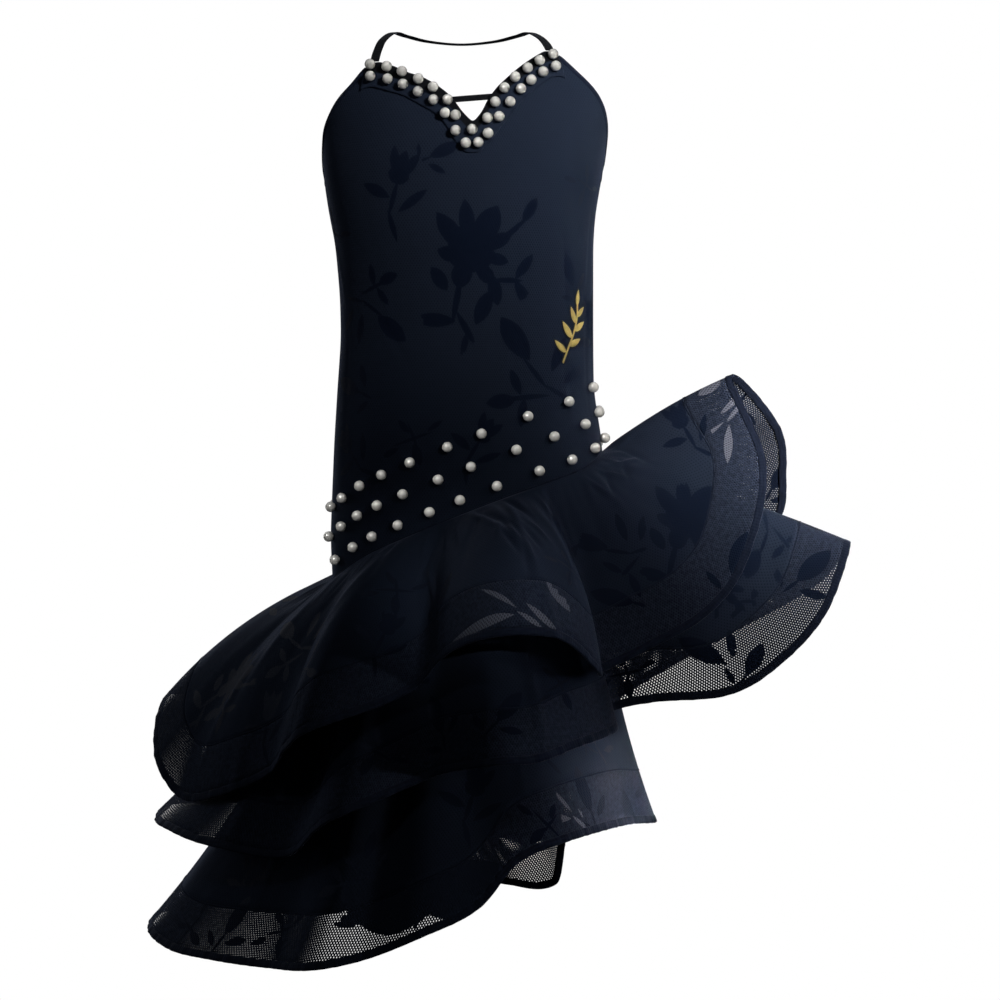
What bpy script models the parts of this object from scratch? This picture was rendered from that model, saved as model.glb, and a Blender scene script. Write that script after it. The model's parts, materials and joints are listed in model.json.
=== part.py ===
"""Latin dance dress: a halter bodice on a slanting hip seam, over three tiers of waved flounces.

World frame: the neck strap's top is level 0, +Z up, the front faces -Y and +X is to the right in
the front view.  Every piece is worked out in millimetres round the vertical axis from an azimuth
(0 at the front, +90 at +X, 180 at the back), a radius and a level, and scaled to metres at the end.
"""

import math
from typing import NamedTuple

import bmesh
import bpy
import numpy as np
from mathutils import Matrix
from mathutils.bvhtree import BVHTree

MM = 0.001
OBJECT_NAME = "latin_dance_dress"

# Wall thickness, and the gaps that keep the pieces apart (mm).
CLOTH = 1.3
TRIM = 1.2
NET = 1.1
BINDING = 2.0
STRAP_THICKNESS = 1.4
SEAM_GAP = 0.4
LAY_GAP = 0.55

# Widths measured along the cloth (mm), and the bar's level and the azimuths of its ends.
NET_WIDTH = 44.0
BINDING_WIDTH = 7.5
STRAP_WIDTH = 8.5
BAR_WIDTH = 4.8
BAR_LEVEL = -74.0
BAR_ENDS = (-11.0, 21.0)
BAR_SET_BACK = 1.6

# Sewn-on pearls (mm).
PEARL_DIAMETER = 10.0
PEARL_SINK = 1.0
PEARL_SIDES = 6
PEARL_RINGS = 4

# How finely the pieces are divided.
BODY_STEP = 9.0
BODY_ROWS = 7
TIER_COLUMNS = 80
TIER_ROWS = 5
ROUNDNESS = 2.2
WAIST_RADIUS = 117.5


class BodyRow(NamedTuple):
    """One level of the figure: its half-widths to each side and its half-depths (mm)."""

    level: float
    left: float
    right: float
    front: float
    back: float


class EdgeRow(NamedTuple):
    """A point of an edge that runs round the body (degrees, mm)."""

    azimuth: float
    level: float


class FoldRow(NamedTuple):
    """A ridge, slope or valley of a tier's hem (degrees, mm), and the arch of the cloth above it."""

    azimuth: float
    reach: float
    level: float
    arch: float


class StrapRow(NamedTuple):
    """A point on the middle of the neck strap (mm)."""

    x: float
    y: float
    level: float


BODY = (
    BodyRow(20.0, 150.0, 150.0, 52.0, 60.0),
    BodyRow(-20.0, 148.0, 148.0, 66.0, 68.0),
    BodyRow(-60.0, 146.0, 147.5, 82.0, 76.0),
    BodyRow(-95.0, 137.0, 138.0, 92.0, 82.0),
    BodyRow(-130.0, 135.0, 131.0, 97.0, 84.0),
    BodyRow(-172.0, 129.0, 123.5, 96.0, 82.0),
    BodyRow(-200.0, 123.0, 121.5, 93.0, 79.0),
    BodyRow(-250.0, 118.5, 121.5, 86.0, 73.0),
    BodyRow(-290.0, 117.5, 121.5, 83.0, 71.0),
    BodyRow(-340.0, 121.0, 122.0, 87.0, 79.0),
    BodyRow(-390.0, 124.0, 130.0, 91.0, 90.0),
    BodyRow(-440.0, 126.0, 131.0, 92.0, 95.0),
    BodyRow(-480.0, 127.5, 131.0, 92.0, 95.0),
    BodyRow(-530.0, 125.0, 130.0, 91.0, 94.0),
)

# Top edge of the front: underarm, armhole, strap corner, neckline and the V notch between.
FRONT_TOP = (
    EdgeRow(-90.0, -142.0),
    EdgeRow(-84.0, -120.0),
    EdgeRow(-78.0, -98.0),
    EdgeRow(-71.0, -84.0),
    EdgeRow(-65.0, -69.5),
    EdgeRow(-59.5, -57.0),
    EdgeRow(-55.5, -41.0),
    EdgeRow(-51.0, -38.5),
    EdgeRow(-43.0, -43.5),
    EdgeRow(-35.0, -50.0),
    EdgeRow(-26.5, -54.5),
    EdgeRow(-17.5, -62.0),
    EdgeRow(-10.5, -70.0),
    EdgeRow(-6.5, -76.0),
    EdgeRow(-0.5, -89.0),
    EdgeRow(5.3, -98.5),
    EdgeRow(10.5, -88.5),
    EdgeRow(14.5, -76.0),
    EdgeRow(20.5, -64.5),
    EdgeRow(26.5, -56.0),
    EdgeRow(35.0, -45.0),
    EdgeRow(42.0, -37.0),
    EdgeRow(50.5, -28.0),
    EdgeRow(55.5, -30.0),
    EdgeRow(61.0, -46.0),
    EdgeRow(67.5, -62.0),
    EdgeRow(73.0, -77.0),
    EdgeRow(79.0, -94.0),
    EdgeRow(84.5, -116.0),
    EdgeRow(90.0, -138.0),
)
BAND_LOWER_EDGE = (
    EdgeRow(-90.0, -165.0),
    EdgeRow(-78.0, -124.0),
    EdgeRow(-65.0, -94.0),
    EdgeRow(-55.5, -64.0),
    EdgeRow(-51.0, -62.0),
    EdgeRow(-35.0, -71.5),
    EdgeRow(-17.5, -88.0),
    EdgeRow(-10.5, -99.0),
    EdgeRow(-5.5, -114.0),
    EdgeRow(0.5, -126.0),
    EdgeRow(8.5, -126.0),
    EdgeRow(15.5, -113.0),
    EdgeRow(22.5, -98.0),
    EdgeRow(35.0, -73.0),
    EdgeRow(50.5, -51.5),
    EdgeRow(55.5, -52.5),
    EdgeRow(67.5, -88.0),
    EdgeRow(79.0, -120.0),
    EdgeRow(90.0, -162.0),
)
STRAP_CORNERS = (-55.5, 55.5)
BACK_TOP = (
    EdgeRow(90.0, -138.0),
    EdgeRow(120.0, -147.0),
    EdgeRow(150.0, -160.0),
    EdgeRow(180.0, -166.0),
    EdgeRow(210.0, -162.0),
    EdgeRow(240.0, -151.0),
    EdgeRow(270.0, -142.0),
)
HIP_SEAM = (
    EdgeRow(-90.0, -521.0),
    EdgeRow(-72.0, -513.0),
    EdgeRow(-50.0, -492.0),
    EdgeRow(-20.0, -469.0),
    EdgeRow(19.0, -444.0),
    EdgeRow(60.0, -417.5),
    EdgeRow(90.0, -397.5),
    EdgeRow(120.0, -414.0),
    EdgeRow(160.0, -443.0),
    EdgeRow(200.0, -470.0),
    EdgeRow(245.0, -505.0),
)

# Pearls: azimuth and level of each on the neck band; azimuths of each row above the hip seam.
NECK_PEARLS = (
    EdgeRow(-53.3, -42.5), EdgeRow(-45.5, -45.5), EdgeRow(-37.3, -51.0), EdgeRow(-27.7, -58.5),
    EdgeRow(-18.6, -66.5), EdgeRow(-9.6, -78.5), EdgeRow(-4.6, -93.0),
    EdgeRow(-51.5, -54.0), EdgeRow(-43.3, -57.5), EdgeRow(-35.2, -63.0), EdgeRow(-26.6, -70.5),
    EdgeRow(-17.6, -78.5), EdgeRow(-10.6, -91.0), EdgeRow(-4.4, -107.0),
    EdgeRow(4.7, -106.0), EdgeRow(1.2, -118.5), EdgeRow(7.9, -118.0),
    EdgeRow(13.2, -95.5), EdgeRow(18.2, -80.5), EdgeRow(24.2, -67.0), EdgeRow(31.0, -56.5),
    EdgeRow(38.6, -47.5), EdgeRow(45.6, -39.8), EdgeRow(52.6, -33.0),
    EdgeRow(13.2, -109.5), EdgeRow(19.6, -94.0), EdgeRow(26.2, -80.0), EdgeRow(32.8, -67.5),
    EdgeRow(38.9, -58.8), EdgeRow(45.6, -50.5), EdgeRow(52.0, -44.5),
)
HIP_PEARL_RISES = (66.0, 39.5, 13.0)
FRONT_HIP_PEARLS = (
    (-77.0, -66.5, -55.5, -44.0, -29.5, -9.2, 10.2, 35.4, 57.5, 76.0),
    (-79.0, -66.5, -56.5, -46.0, -33.0, -14.2, 4.2, 28.8, 48.0, 65.5, 80.0),
    (-72.0, -59.0, -48.5, -35.4, -18.9, -2.1, 18.4, 40.2, 56.5, 71.0, 85.0),
)
BACK_HIP_PEARLS = (
    (104.0, 126.0, 148.0, 169.0, 191.0, 212.0, 234.0, 256.0),
    (97.0, 115.0, 137.0, 158.5, 180.0, 201.5, 223.0, 245.0, 263.0),
    (104.0, 126.0, 148.0, 169.0, 191.0, 212.0, 234.0, 256.0),
)

# Hems of the three tiers, from the left side round the front and the right side to the back.
UPPER_HEM = (
    FoldRow(-106.0, 292.0, -633.0, 0.13),
    FoldRow(-98.0, 299.0, -644.0, 0.13),
    FoldRow(-89.0, 294.0, -690.0, 0.16),
    FoldRow(-81.0, 271.0, -722.0, 0.18),
    FoldRow(-68.0, 246.0, -716.0, 0.20),
    FoldRow(-52.0, 222.0, -690.0, 0.16),
    FoldRow(-36.0, 240.0, -650.0, 0.20),
    FoldRow(-15.0, 172.0, -612.0, 0.06),
    FoldRow(-3.0, 206.0, -577.0, 0.20),
    FoldRow(9.0, 246.0, -561.0, 0.28),
    FoldRow(22.0, 238.0, -567.0, 0.28),
    FoldRow(35.0, 214.0, -598.0, 0.22),
    FoldRow(45.0, 177.0, -600.0, 0.04),
    FoldRow(56.0, 196.0, -583.0, 0.05),
    FoldRow(68.0, 242.0, -549.0, 0.08),
    FoldRow(77.0, 270.0, -499.0, 0.10),
    FoldRow(85.0, 285.0, -410.0, 0.08),
    FoldRow(91.0, 254.0, -325.0, 0.07),
    FoldRow(100.0, 309.0, -373.0, 0.08),
    FoldRow(106.0, 327.0, -415.0, 0.10),
    FoldRow(113.0, 333.0, -468.0, 0.14),
    FoldRow(134.0, 208.0, -545.0, 0.05),
    FoldRow(153.0, 262.0, -560.0, 0.22),
    FoldRow(171.0, 182.0, -592.0, 0.04),
    FoldRow(192.0, 256.0, -602.0, 0.22),
    FoldRow(212.0, 190.0, -632.0, 0.04),
    FoldRow(232.0, 262.0, -642.0, 0.22),
    FoldRow(244.0, 236.0, -656.0, 0.10),
)
MIDDLE_HEM = (
    FoldRow(-100.0, 290.0, -738.0, -0.06),
    FoldRow(-90.0, 295.0, -747.0, -0.08),
    FoldRow(-80.0, 281.0, -751.0, -0.08),
    FoldRow(-66.0, 258.0, -758.0, -0.05),
    FoldRow(-48.0, 216.0, -764.0, -0.02),
    FoldRow(-30.0, 228.0, -724.0, 0.02),
    FoldRow(-11.0, 176.0, -692.0, 0.00),
    FoldRow(6.0, 216.0, -676.0, 0.06),
    FoldRow(18.0, 212.0, -674.0, 0.06),
    FoldRow(31.0, 196.0, -664.0, 0.04),
    FoldRow(44.0, 184.0, -658.0, 0.00),
    FoldRow(52.0, 179.0, -652.0, -0.02),
    FoldRow(57.0, 164.0, -638.0, -0.02),
    FoldRow(62.0, 198.0, -629.0, 0.00),
    FoldRow(68.0, 262.0, -622.0, 0.02),
    FoldRow(75.0, 304.0, -594.0, 0.03),
    FoldRow(82.0, 342.0, -548.0, 0.03),
    FoldRow(89.0, 366.0, -484.0, 0.03),
    FoldRow(98.0, 350.0, -520.0, 0.02),
    FoldRow(113.0, 306.0, -566.0, 0.06),
    FoldRow(131.0, 205.0, -640.0, 0.00),
    FoldRow(150.0, 262.0, -650.0, 0.12),
    FoldRow(170.0, 178.0, -678.0, 0.00),
    FoldRow(190.0, 252.0, -688.0, 0.10),
    FoldRow(211.0, 186.0, -716.0, 0.00),
    FoldRow(230.0, 256.0, -724.0, 0.10),
    FoldRow(245.0, 234.0, -740.0, 0.00),
)
LOWER_HEM = (
    FoldRow(-102.0, 296.0, -842.0, -0.10),
    FoldRow(-90.0, 302.0, -851.0, -0.10),
    FoldRow(-78.0, 281.0, -861.0, -0.10),
    FoldRow(-66.0, 254.0, -863.0, -0.10),
    FoldRow(-50.0, 230.0, -863.0, -0.08),
    FoldRow(-34.0, 236.0, -857.0, -0.04),
    FoldRow(-24.0, 212.0, -848.0, -0.04),
    FoldRow(-10.0, 204.0, -827.0, -0.04),
    FoldRow(4.0, 190.0, -804.0, -0.08),
    FoldRow(15.0, 178.0, -768.0, -0.08),
    FoldRow(30.0, 174.0, -752.0, -0.08),
    FoldRow(50.0, 164.0, -746.0, -0.08),
    FoldRow(70.0, 166.0, -745.0, -0.10),
    FoldRow(88.0, 182.0, -749.0, -0.10),
    FoldRow(104.0, 168.0, -750.0, -0.10),
    FoldRow(122.0, 176.0, -764.0, -0.08),
    FoldRow(140.0, 162.0, -780.0, -0.08),
    FoldRow(146.0, 172.0, -792.0, -0.08),
    FoldRow(150.5, 180.0, -831.0, -0.06),
    FoldRow(166.0, 176.0, -833.0, -0.06),
    FoldRow(188.0, 226.0, -830.0, 0.00),
    FoldRow(210.0, 184.0, -838.0, -0.06),
    FoldRow(229.0, 252.0, -836.0, 0.00),
    FoldRow(244.0, 232.0, -844.0, -0.06),
)
# Each tier's step inward and down at the hip seam (mm), so that the three lie one in another.
TIER_STEP_IN = 2.4
TIER_STEP_DOWN = 3.2

# Middle of the neck strap, from the left corner of the front round the nape to the right one.
STRAP = (
    StrapRow(-83.0, -63.5, -37.2),
    StrapRow(-80.8, -50.0, -25.5),
    StrapRow(-76.5, -35.0, -13.0),
    StrapRow(-67.5, -10.0, -2.0),
    StrapRow(-57.0, 20.0, 0.0),
    StrapRow(-36.0, 46.0, -1.0),
    StrapRow(-4.0, 57.0, -2.0),
    StrapRow(28.0, 46.0, -1.0),
    StrapRow(50.0, 20.0, 0.0),
    StrapRow(60.5, -10.0, -2.0),
    StrapRow(69.5, -33.0, -9.5),
    StrapRow(75.5, -47.0, -17.5),
    StrapRow(79.5, -60.5, -26.5),
)


def table_column(rows, name):
    """Return one named column of a table as an array."""
    return np.array([getattr(row, name) for row in rows], dtype=float)


def around(rows, name, azimuths):
    """Read a column of a closed table at the azimuths, with a smooth curve through its rows.

    The curve is a cubic Hermite whose slope at each row is that of the line between its neighbours.
    """
    turn = 360.0
    azimuth = table_column(rows, "azimuth")
    value = table_column(rows, name)
    knots = np.concatenate((azimuth[-2:] - turn, azimuth, azimuth[:3] + turn))
    values = np.concatenate((value[-2:], value, value[:3]))
    slopes = np.zeros_like(values)
    slopes[1:-1] = (values[2:] - values[:-2]) / (knots[2:] - knots[:-2])
    wrapped = (np.asarray(azimuths, dtype=float) - azimuth[0]) % turn + azimuth[0]
    index = np.searchsorted(knots, wrapped, side="right") - 1
    width = knots[index + 1] - knots[index]
    t = (wrapped - knots[index]) / width
    start, end = values[index], values[index + 1]
    return (
        start * (1 + 2 * t) * (1 - t) ** 2
        + end * t * t * (3 - 2 * t)
        + width * (slopes[index] * t * (1 - t) ** 2 - slopes[index + 1] * t * t * (1 - t))
    )


def along(rows, azimuths):
    """Read the level of an open edge at the azimuths, straight between its rows."""
    return np.interp(azimuths, table_column(rows, "azimuth"), table_column(rows, "level"))


def body_radius(azimuths, levels):
    """Return the radius of the figure: a superellipse with its own four half-axes at each level."""
    order = np.argsort(table_column(BODY, "level"))
    heights = table_column(BODY, "level")[order]
    left, right, front, back = (
        np.interp(levels, heights, table_column(BODY, name)[order])
        for name in ("left", "right", "front", "back")
    )
    angle = np.radians(azimuths)
    side = np.sin(angle) / np.where(np.sin(angle) < 0.0, left, right)
    depth = np.cos(angle) / np.where(np.cos(angle) < 0.0, back, front)
    return (np.abs(side) ** ROUNDNESS + np.abs(depth) ** ROUNDNESS) ** (-1.0 / ROUNDNESS)


def place(azimuths, radii, levels):
    """Turn azimuth, radius and level into points (mm)."""
    angle = np.radians(azimuths)
    return np.stack((radii * np.sin(angle), -radii * np.cos(angle), levels + 0.0 * radii), axis=-1)


def body_points(azimuths, levels, out=0.0):
    """Return points on the figure, moved out from it along its normals by a distance (mm)."""
    points = place(azimuths, body_radius(azimuths, levels), levels)
    beside = place(azimuths + 1.0, body_radius(azimuths + 1.0, levels), levels)
    above = place(azimuths, body_radius(azimuths, levels + 1.0), levels + 1.0)
    normals = np.cross(beside - points, above - points)
    return points + out * normals / np.linalg.norm(normals, axis=-1, keepdims=True)


def new_collection(name):
    """Make a collection in the scene."""
    collection = bpy.data.collections.new(name)
    bpy.context.scene.collection.children.link(collection)
    return collection


def new_material(name, color, roughness, metallic=0.0):
    """Make a Principled material."""
    material = bpy.data.materials.new(name)
    material.use_nodes = True
    shader = material.node_tree.nodes["Principled BSDF"]
    shader.inputs["Base Color"].default_value = (*color, 1.0)
    shader.inputs["Roughness"].default_value = roughness
    shader.inputs["Metallic"].default_value = metallic
    return material


def grid_faces(rows, columns, closed):
    """List the four-sided faces of a grid of points, joined end to end when it is closed."""
    spans = columns if closed else columns - 1
    return [
        (r * columns + c, (r + 1) * columns + c,
         (r + 1) * columns + (c + 1) % columns, r * columns + (c + 1) % columns)
        for r in range(rows - 1)
        for c in range(spans)
    ]


def sheet(name, points, thickness, material, collection, closed=False, offset=-1.0):
    """Loft an open surface through rows of points (mm) and give it thickness on its inner side."""
    rows, columns, _ = points.shape
    mesh = bpy.data.meshes.new(name)
    mesh.from_pydata((points.reshape(-1, 3) * MM).tolist(), [], grid_faces(rows, columns, closed))
    mesh.validate()
    mesh.shade_smooth()
    mesh.materials.append(material)
    piece = bpy.data.objects.new(name, mesh)
    collection.objects.link(piece)
    wall = piece.modifiers.new("wall", "SOLIDIFY")
    wall.thickness = thickness * MM
    wall.offset = offset
    wall.use_even_offset = True
    wall.use_quality_normals = True
    return piece


def pearl_beads(name, places, panel, lift, material, cutters):
    """Make the beads of a panel: a round bead on its outer points, sunk a little into the wall."""
    rows, columns, _ = panel.shape
    outside = BVHTree.FromPolygons(panel.reshape(-1, 3).tolist(), grid_faces(rows, columns, False))
    radius = PEARL_DIAMETER / 2.0
    bead_mesh = bmesh.new()
    for spot in places:
        base, normal, _, _ = outside.find_nearest(body_points(spot.azimuth, spot.level, lift))
        turned = normal.to_track_quat("Z", "Y").to_matrix().to_4x4()
        centre = base + normal * (radius - PEARL_SINK)
        bmesh.ops.create_uvsphere(
            bead_mesh, u_segments=PEARL_SIDES, v_segments=PEARL_RINGS, radius=radius * MM,
            matrix=Matrix.Translation(centre * MM) @ turned,
        )
    mesh = bpy.data.meshes.new(name)
    bead_mesh.to_mesh(mesh)
    bead_mesh.free()
    mesh.materials.append(material)
    beads = bpy.data.objects.new(name, mesh)
    beads.hide_render = True
    beads.display_type = "WIRE"
    cutters.objects.link(beads)
    return beads


def raise_beads(piece, beads):
    """Join the beads to a wall's outer side."""
    join = piece.modifiers.new("pearls", "BOOLEAN")
    join.operation = "UNION"
    join.solver = "EXACT"
    join.object = beads


def columns_between(rows, step):
    """Return the azimuths of an edge's rows, with even steps between rows that lie far apart."""
    azimuths = table_column(rows, "azimuth")
    columns = [azimuths[0]]
    for start, end in zip(azimuths[:-1], azimuths[1:]):
        count = max(1, math.ceil((end - start) / step))
        columns.extend(start + (end - start) * (k + 1) / count for k in range(count))
    return np.array(columns)


def side_gap(azimuths):
    """Draw the first and last column in by half the seam gap, for the side seams."""
    drawn = np.array(azimuths, dtype=float)
    half_gap = math.degrees(SEAM_GAP / 2.0 / WAIST_RADIUS)
    drawn[0] += half_gap
    drawn[-1] -= half_gap
    return drawn


def hip_pearls(azimuth_rows):
    """Return the places of the pearls in the rows above the hip seam."""
    return [
        EdgeRow(azimuth, float(around(HIP_SEAM, "level", azimuth)) + rise)
        for rise, azimuths in zip(HIP_PEARL_RISES, azimuth_rows)
        for azimuth in azimuths
    ]


def front_levels(azimuths):
    """Return the rows of levels of the front: its top edge, the band's lower edge, and on down."""
    top = along(FRONT_TOP, azimuths)
    band = along(BAND_LOWER_EDGE, azimuths)
    bottom = around(HIP_SEAM, "level", azimuths)
    steps = np.linspace(0.0, 1.0, BODY_ROWS + 1)
    lower = [band + (bottom - band) * step for step in steps]
    return np.array([top, *lower])


def build_front(material, collection, cutters):
    """Make the front panel, with its pearls above the hip seam."""
    azimuths = side_gap(columns_between(FRONT_TOP, BODY_STEP))
    points = body_points(azimuths, front_levels(azimuths))
    front = sheet("bodice_front", points, CLOTH, material, collection)
    pearls = hip_pearls(FRONT_HIP_PEARLS)
    raise_beads(front, pearl_beads("front_pearls", pearls, points, 0.0, material, cutters))


def build_back(material, collection, cutters):
    """Make the back panel, with its pearls above the hip seam."""
    azimuths = side_gap(columns_between(BACK_TOP, BODY_STEP))
    top = along(BACK_TOP, azimuths)
    bottom = around(HIP_SEAM, "level", azimuths)
    levels = np.array([top + (bottom - top) * step for step in np.linspace(0.0, 1.0, BODY_ROWS)])
    points = body_points(azimuths, levels)
    back = sheet("bodice_back", points, CLOTH, material, collection)
    pearls = hip_pearls(BACK_HIP_PEARLS)
    raise_beads(back, pearl_beads("back_pearls", pearls, points, 0.0, material, cutters))


def build_neck_band(material, collection, cutters):
    """Make the band that lies on the front along the neckline, with its two rows of pearls."""
    columns = columns_between(FRONT_TOP, BODY_STEP)
    azimuths = columns[(columns >= STRAP_CORNERS[0]) & (columns <= STRAP_CORNERS[1])]
    lift = LAY_GAP + TRIM
    points = body_points(azimuths, front_levels(azimuths)[:2], lift)
    band = sheet("neck_band", points, TRIM, material, collection)
    raise_beads(band, pearl_beads("neck_pearls", NECK_PEARLS, points, lift, material, cutters))


def build_neck_bar(material, collection):
    """Make the bar that spans the notch behind the front's edges."""
    columns = columns_between(FRONT_TOP, BODY_STEP)
    azimuths = columns[(columns >= BAR_ENDS[0]) & (columns <= BAR_ENDS[1])]
    half = BAR_WIDTH / 2.0
    levels = np.array([np.full(azimuths.shape, BAR_LEVEL + side * half) for side in (1.0, -1.0)])
    points = body_points(azimuths, levels, -CLOTH - BAR_SET_BACK)
    sheet("neck_bar", points, TRIM, material, collection)


def build_strap(material, collection):
    """Make the strap from one corner of the front round the nape to the other, its width level."""
    middle = np.array(STRAP)
    forward = np.gradient(middle, axis=0)
    across = np.cross(forward, (0.0, 0.0, 1.0))
    across *= STRAP_WIDTH / 2.0 / np.linalg.norm(across, axis=1, keepdims=True)
    edges = np.array([middle - across, middle + across])
    sheet("halter_strap", edges, STRAP_THICKNESS, material, collection, offset=0.0)


def tier_profile(hem, order, azimuths, fractions):
    """Return the points of a tier: from the hip seam out to its hem, along an arched line.

    In the upright plane of each azimuth the cloth follows a quadratic Bezier from the seam to the
    hem, whose middle control point lies off the straight line by the arch times its length.
    """
    seam_level = around(HIP_SEAM, "level", azimuths) - SEAM_GAP - TIER_STEP_DOWN * order
    seam_radius = body_radius(azimuths, seam_level) - TIER_STEP_IN * order
    reach, level, arch = (around(hem, name, azimuths) for name in ("reach", "level", "arch"))
    run, fall = reach - seam_radius, level - seam_level
    middle_radius = (seam_radius + reach) / 2.0 - arch * fall
    middle_level = (seam_level + level) / 2.0 + arch * run
    t = fractions
    radii = seam_radius * (1 - t) ** 2 + 2 * middle_radius * t * (1 - t) + reach * t * t
    levels = seam_level * (1 - t) ** 2 + 2 * middle_level * t * (1 - t) + level * t * t
    return place(azimuths, radii, levels), np.hypot(run, fall)


def build_tier(name, hem, order, materials, collection):
    """Make one tier: its flounce, the band of stiff net at its hem, and the net's bound edge."""
    cloth, net, binding = materials
    azimuths = -180.0 + 360.0 * np.arange(TIER_COLUMNS) / TIER_COLUMNS
    _, length = tier_profile(hem, order, azimuths, 1.0)
    net_start = 1.0 - (NET_WIDTH + BINDING_WIDTH) / length
    net_end = 1.0 - BINDING_WIDTH / length
    gap = SEAM_GAP / length
    bands = (
        ("flounce", 0.0 * length, net_start - gap, TIER_ROWS, CLOTH, cloth),
        ("net", net_start, net_end - gap, 1, NET, net),
        ("binding", net_end, 1.0 + 0.0 * length, 1, BINDING, binding),
    )
    for part, start, end, rows, thickness, material in bands:
        fractions = np.array([start + (end - start) * k / rows for k in range(rows + 1)])
        points, _ = tier_profile(hem, order, azimuths, fractions)
        sheet(f"{part}_{name}", points, thickness, material, collection, closed=True)


def main():
    """Build the dress."""
    for old in list(bpy.data.objects):
        bpy.data.objects.remove(old, do_unlink=True)
    dress = new_collection(OBJECT_NAME)
    cutters = new_collection("cutters")
    cloth = new_material("burnout_cloth", (0.012, 0.016, 0.030), 0.55)
    trim = new_material("neck_trim", (0.004, 0.004, 0.006), 0.70)
    net = new_material("horsehair_net", (0.020, 0.022, 0.028), 0.50)
    satin = new_material("satin_binding", (0.014, 0.018, 0.032), 0.35)
    build_front(cloth, dress, cutters)
    build_back(cloth, dress, cutters)
    build_neck_band(trim, dress, cutters)
    build_neck_bar(satin, dress)
    build_strap(satin, dress)
    for order, (name, hem) in enumerate((("upper", UPPER_HEM), ("middle", MIDDLE_HEM), ("lower", LOWER_HEM))):
        build_tier(name, hem, order, (cloth, net, satin), dress)


main()
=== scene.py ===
"""Latin dance dress, dressed: burnout cloth, stiff net hems, satin bindings and sewn-on pearls.

World frame: metres, +Z up, the front faces -Y, and the top of the neck strap is level 0.  Cloth
shapes are worked out in millimetres from an azimuth (0 at the front, +90 at +X, 180 at the back)
and a distance down the cloth, and scaled to metres when they are put into a mesh.
"""

from __future__ import annotations

import json
import logging
from dataclasses import dataclass, field
from enum import Enum
from typing import Any, NamedTuple, Sequence

import bpy
import numpy as np
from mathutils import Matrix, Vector

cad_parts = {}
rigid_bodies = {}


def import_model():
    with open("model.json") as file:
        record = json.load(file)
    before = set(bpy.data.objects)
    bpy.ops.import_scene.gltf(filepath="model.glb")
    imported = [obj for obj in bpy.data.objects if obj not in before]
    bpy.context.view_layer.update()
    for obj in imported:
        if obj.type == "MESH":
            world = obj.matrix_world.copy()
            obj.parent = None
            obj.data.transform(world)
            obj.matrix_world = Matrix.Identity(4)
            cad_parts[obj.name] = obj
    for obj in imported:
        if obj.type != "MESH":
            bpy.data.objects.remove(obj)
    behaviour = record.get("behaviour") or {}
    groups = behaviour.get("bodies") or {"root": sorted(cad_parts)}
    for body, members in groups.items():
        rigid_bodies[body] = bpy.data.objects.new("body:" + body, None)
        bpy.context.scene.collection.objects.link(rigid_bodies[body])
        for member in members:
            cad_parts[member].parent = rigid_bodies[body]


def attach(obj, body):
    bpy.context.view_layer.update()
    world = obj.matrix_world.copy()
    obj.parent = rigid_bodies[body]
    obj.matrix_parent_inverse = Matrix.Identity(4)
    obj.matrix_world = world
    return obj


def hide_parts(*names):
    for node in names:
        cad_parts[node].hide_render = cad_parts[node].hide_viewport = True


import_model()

LOG = logging.getLogger("latin_dance_dress")
Array = np.ndarray
Finish = bpy.types.Material
Pair = tuple[float, float]
Colour = tuple[float, float, float]
Spot = tuple[float, float, float]

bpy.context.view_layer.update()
MM = 0.001
BODY_NAME = "root"
TURN = 360.0


class BodyRow(NamedTuple):
    """One level of the figure: its half-widths to each side and its half-depths (mm)."""

    level: float
    left: float
    right: float
    front: float
    back: float


class EdgeRow(NamedTuple):
    """A point of an edge that runs round the body (degrees, mm)."""

    azimuth: float
    level: float


class HemRow(NamedTuple):
    """A ridge, slope or valley of a hem (degrees, mm), and the arch of the cloth above it."""

    azimuth: float
    reach: float
    level: float
    arch: float


class StrapRow(NamedTuple):
    """A point on the middle of the neck strap (mm)."""

    x: float
    y: float
    level: float


class Fold(NamedTuple):
    """A soft ridge or trough: its middle, its turn from straight down, its size and its height."""

    azimuth: float
    down: float
    turn: float
    length: float
    width: float
    height: float


class Window(Enum):
    """The sprigs of the cloth's design, each at its own place along the design's x axis."""

    ROSE = 0.0
    BRANCH = 4.0
    TULIP = 8.0
    SPRIG = 12.0
    LEAF = 16.0
    # PALE marks the net's painted light: leaves of a lit backing seen through it, not a sprig.
    PALE = 20.0
    PATCH = 24.0


class Motif(NamedTuple):
    """Where a sprig lies on a piece: its place, its turn (degrees), its size and which sprig."""

    azimuth: float
    down: float
    turn: float
    size: float
    window: Window


class Blade(NamedTuple):
    """One petal, leaf or stretch of stem of a sprig: its middle, turn, length and width."""

    x: float
    y: float
    turn: float
    length: float
    width: float


class Lamp(NamedTuple):
    """A soft square lamp: where it stands and faces, its side (m), power (W) and spread (degrees).

    Gloss tells whether glossy finishes show it.  Where lit is given, it lights only the pieces
    whose names contain it.
    """

    name: str
    spot: Spot
    aim: Spot
    size: float
    power: float
    spread: float
    colour: Colour
    gloss: bool = False
    lit: str = ""


class Held(Enum):
    """How a sheet of cloth is held."""

    HUNG = "hung"
    GATHERED = "gathered"


def table(kind: Any, *rows: tuple[Any, ...]) -> tuple[Any, ...]:
    """Make plain rows into rows of a named kind."""
    return tuple(kind(*row) for row in rows)


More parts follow.
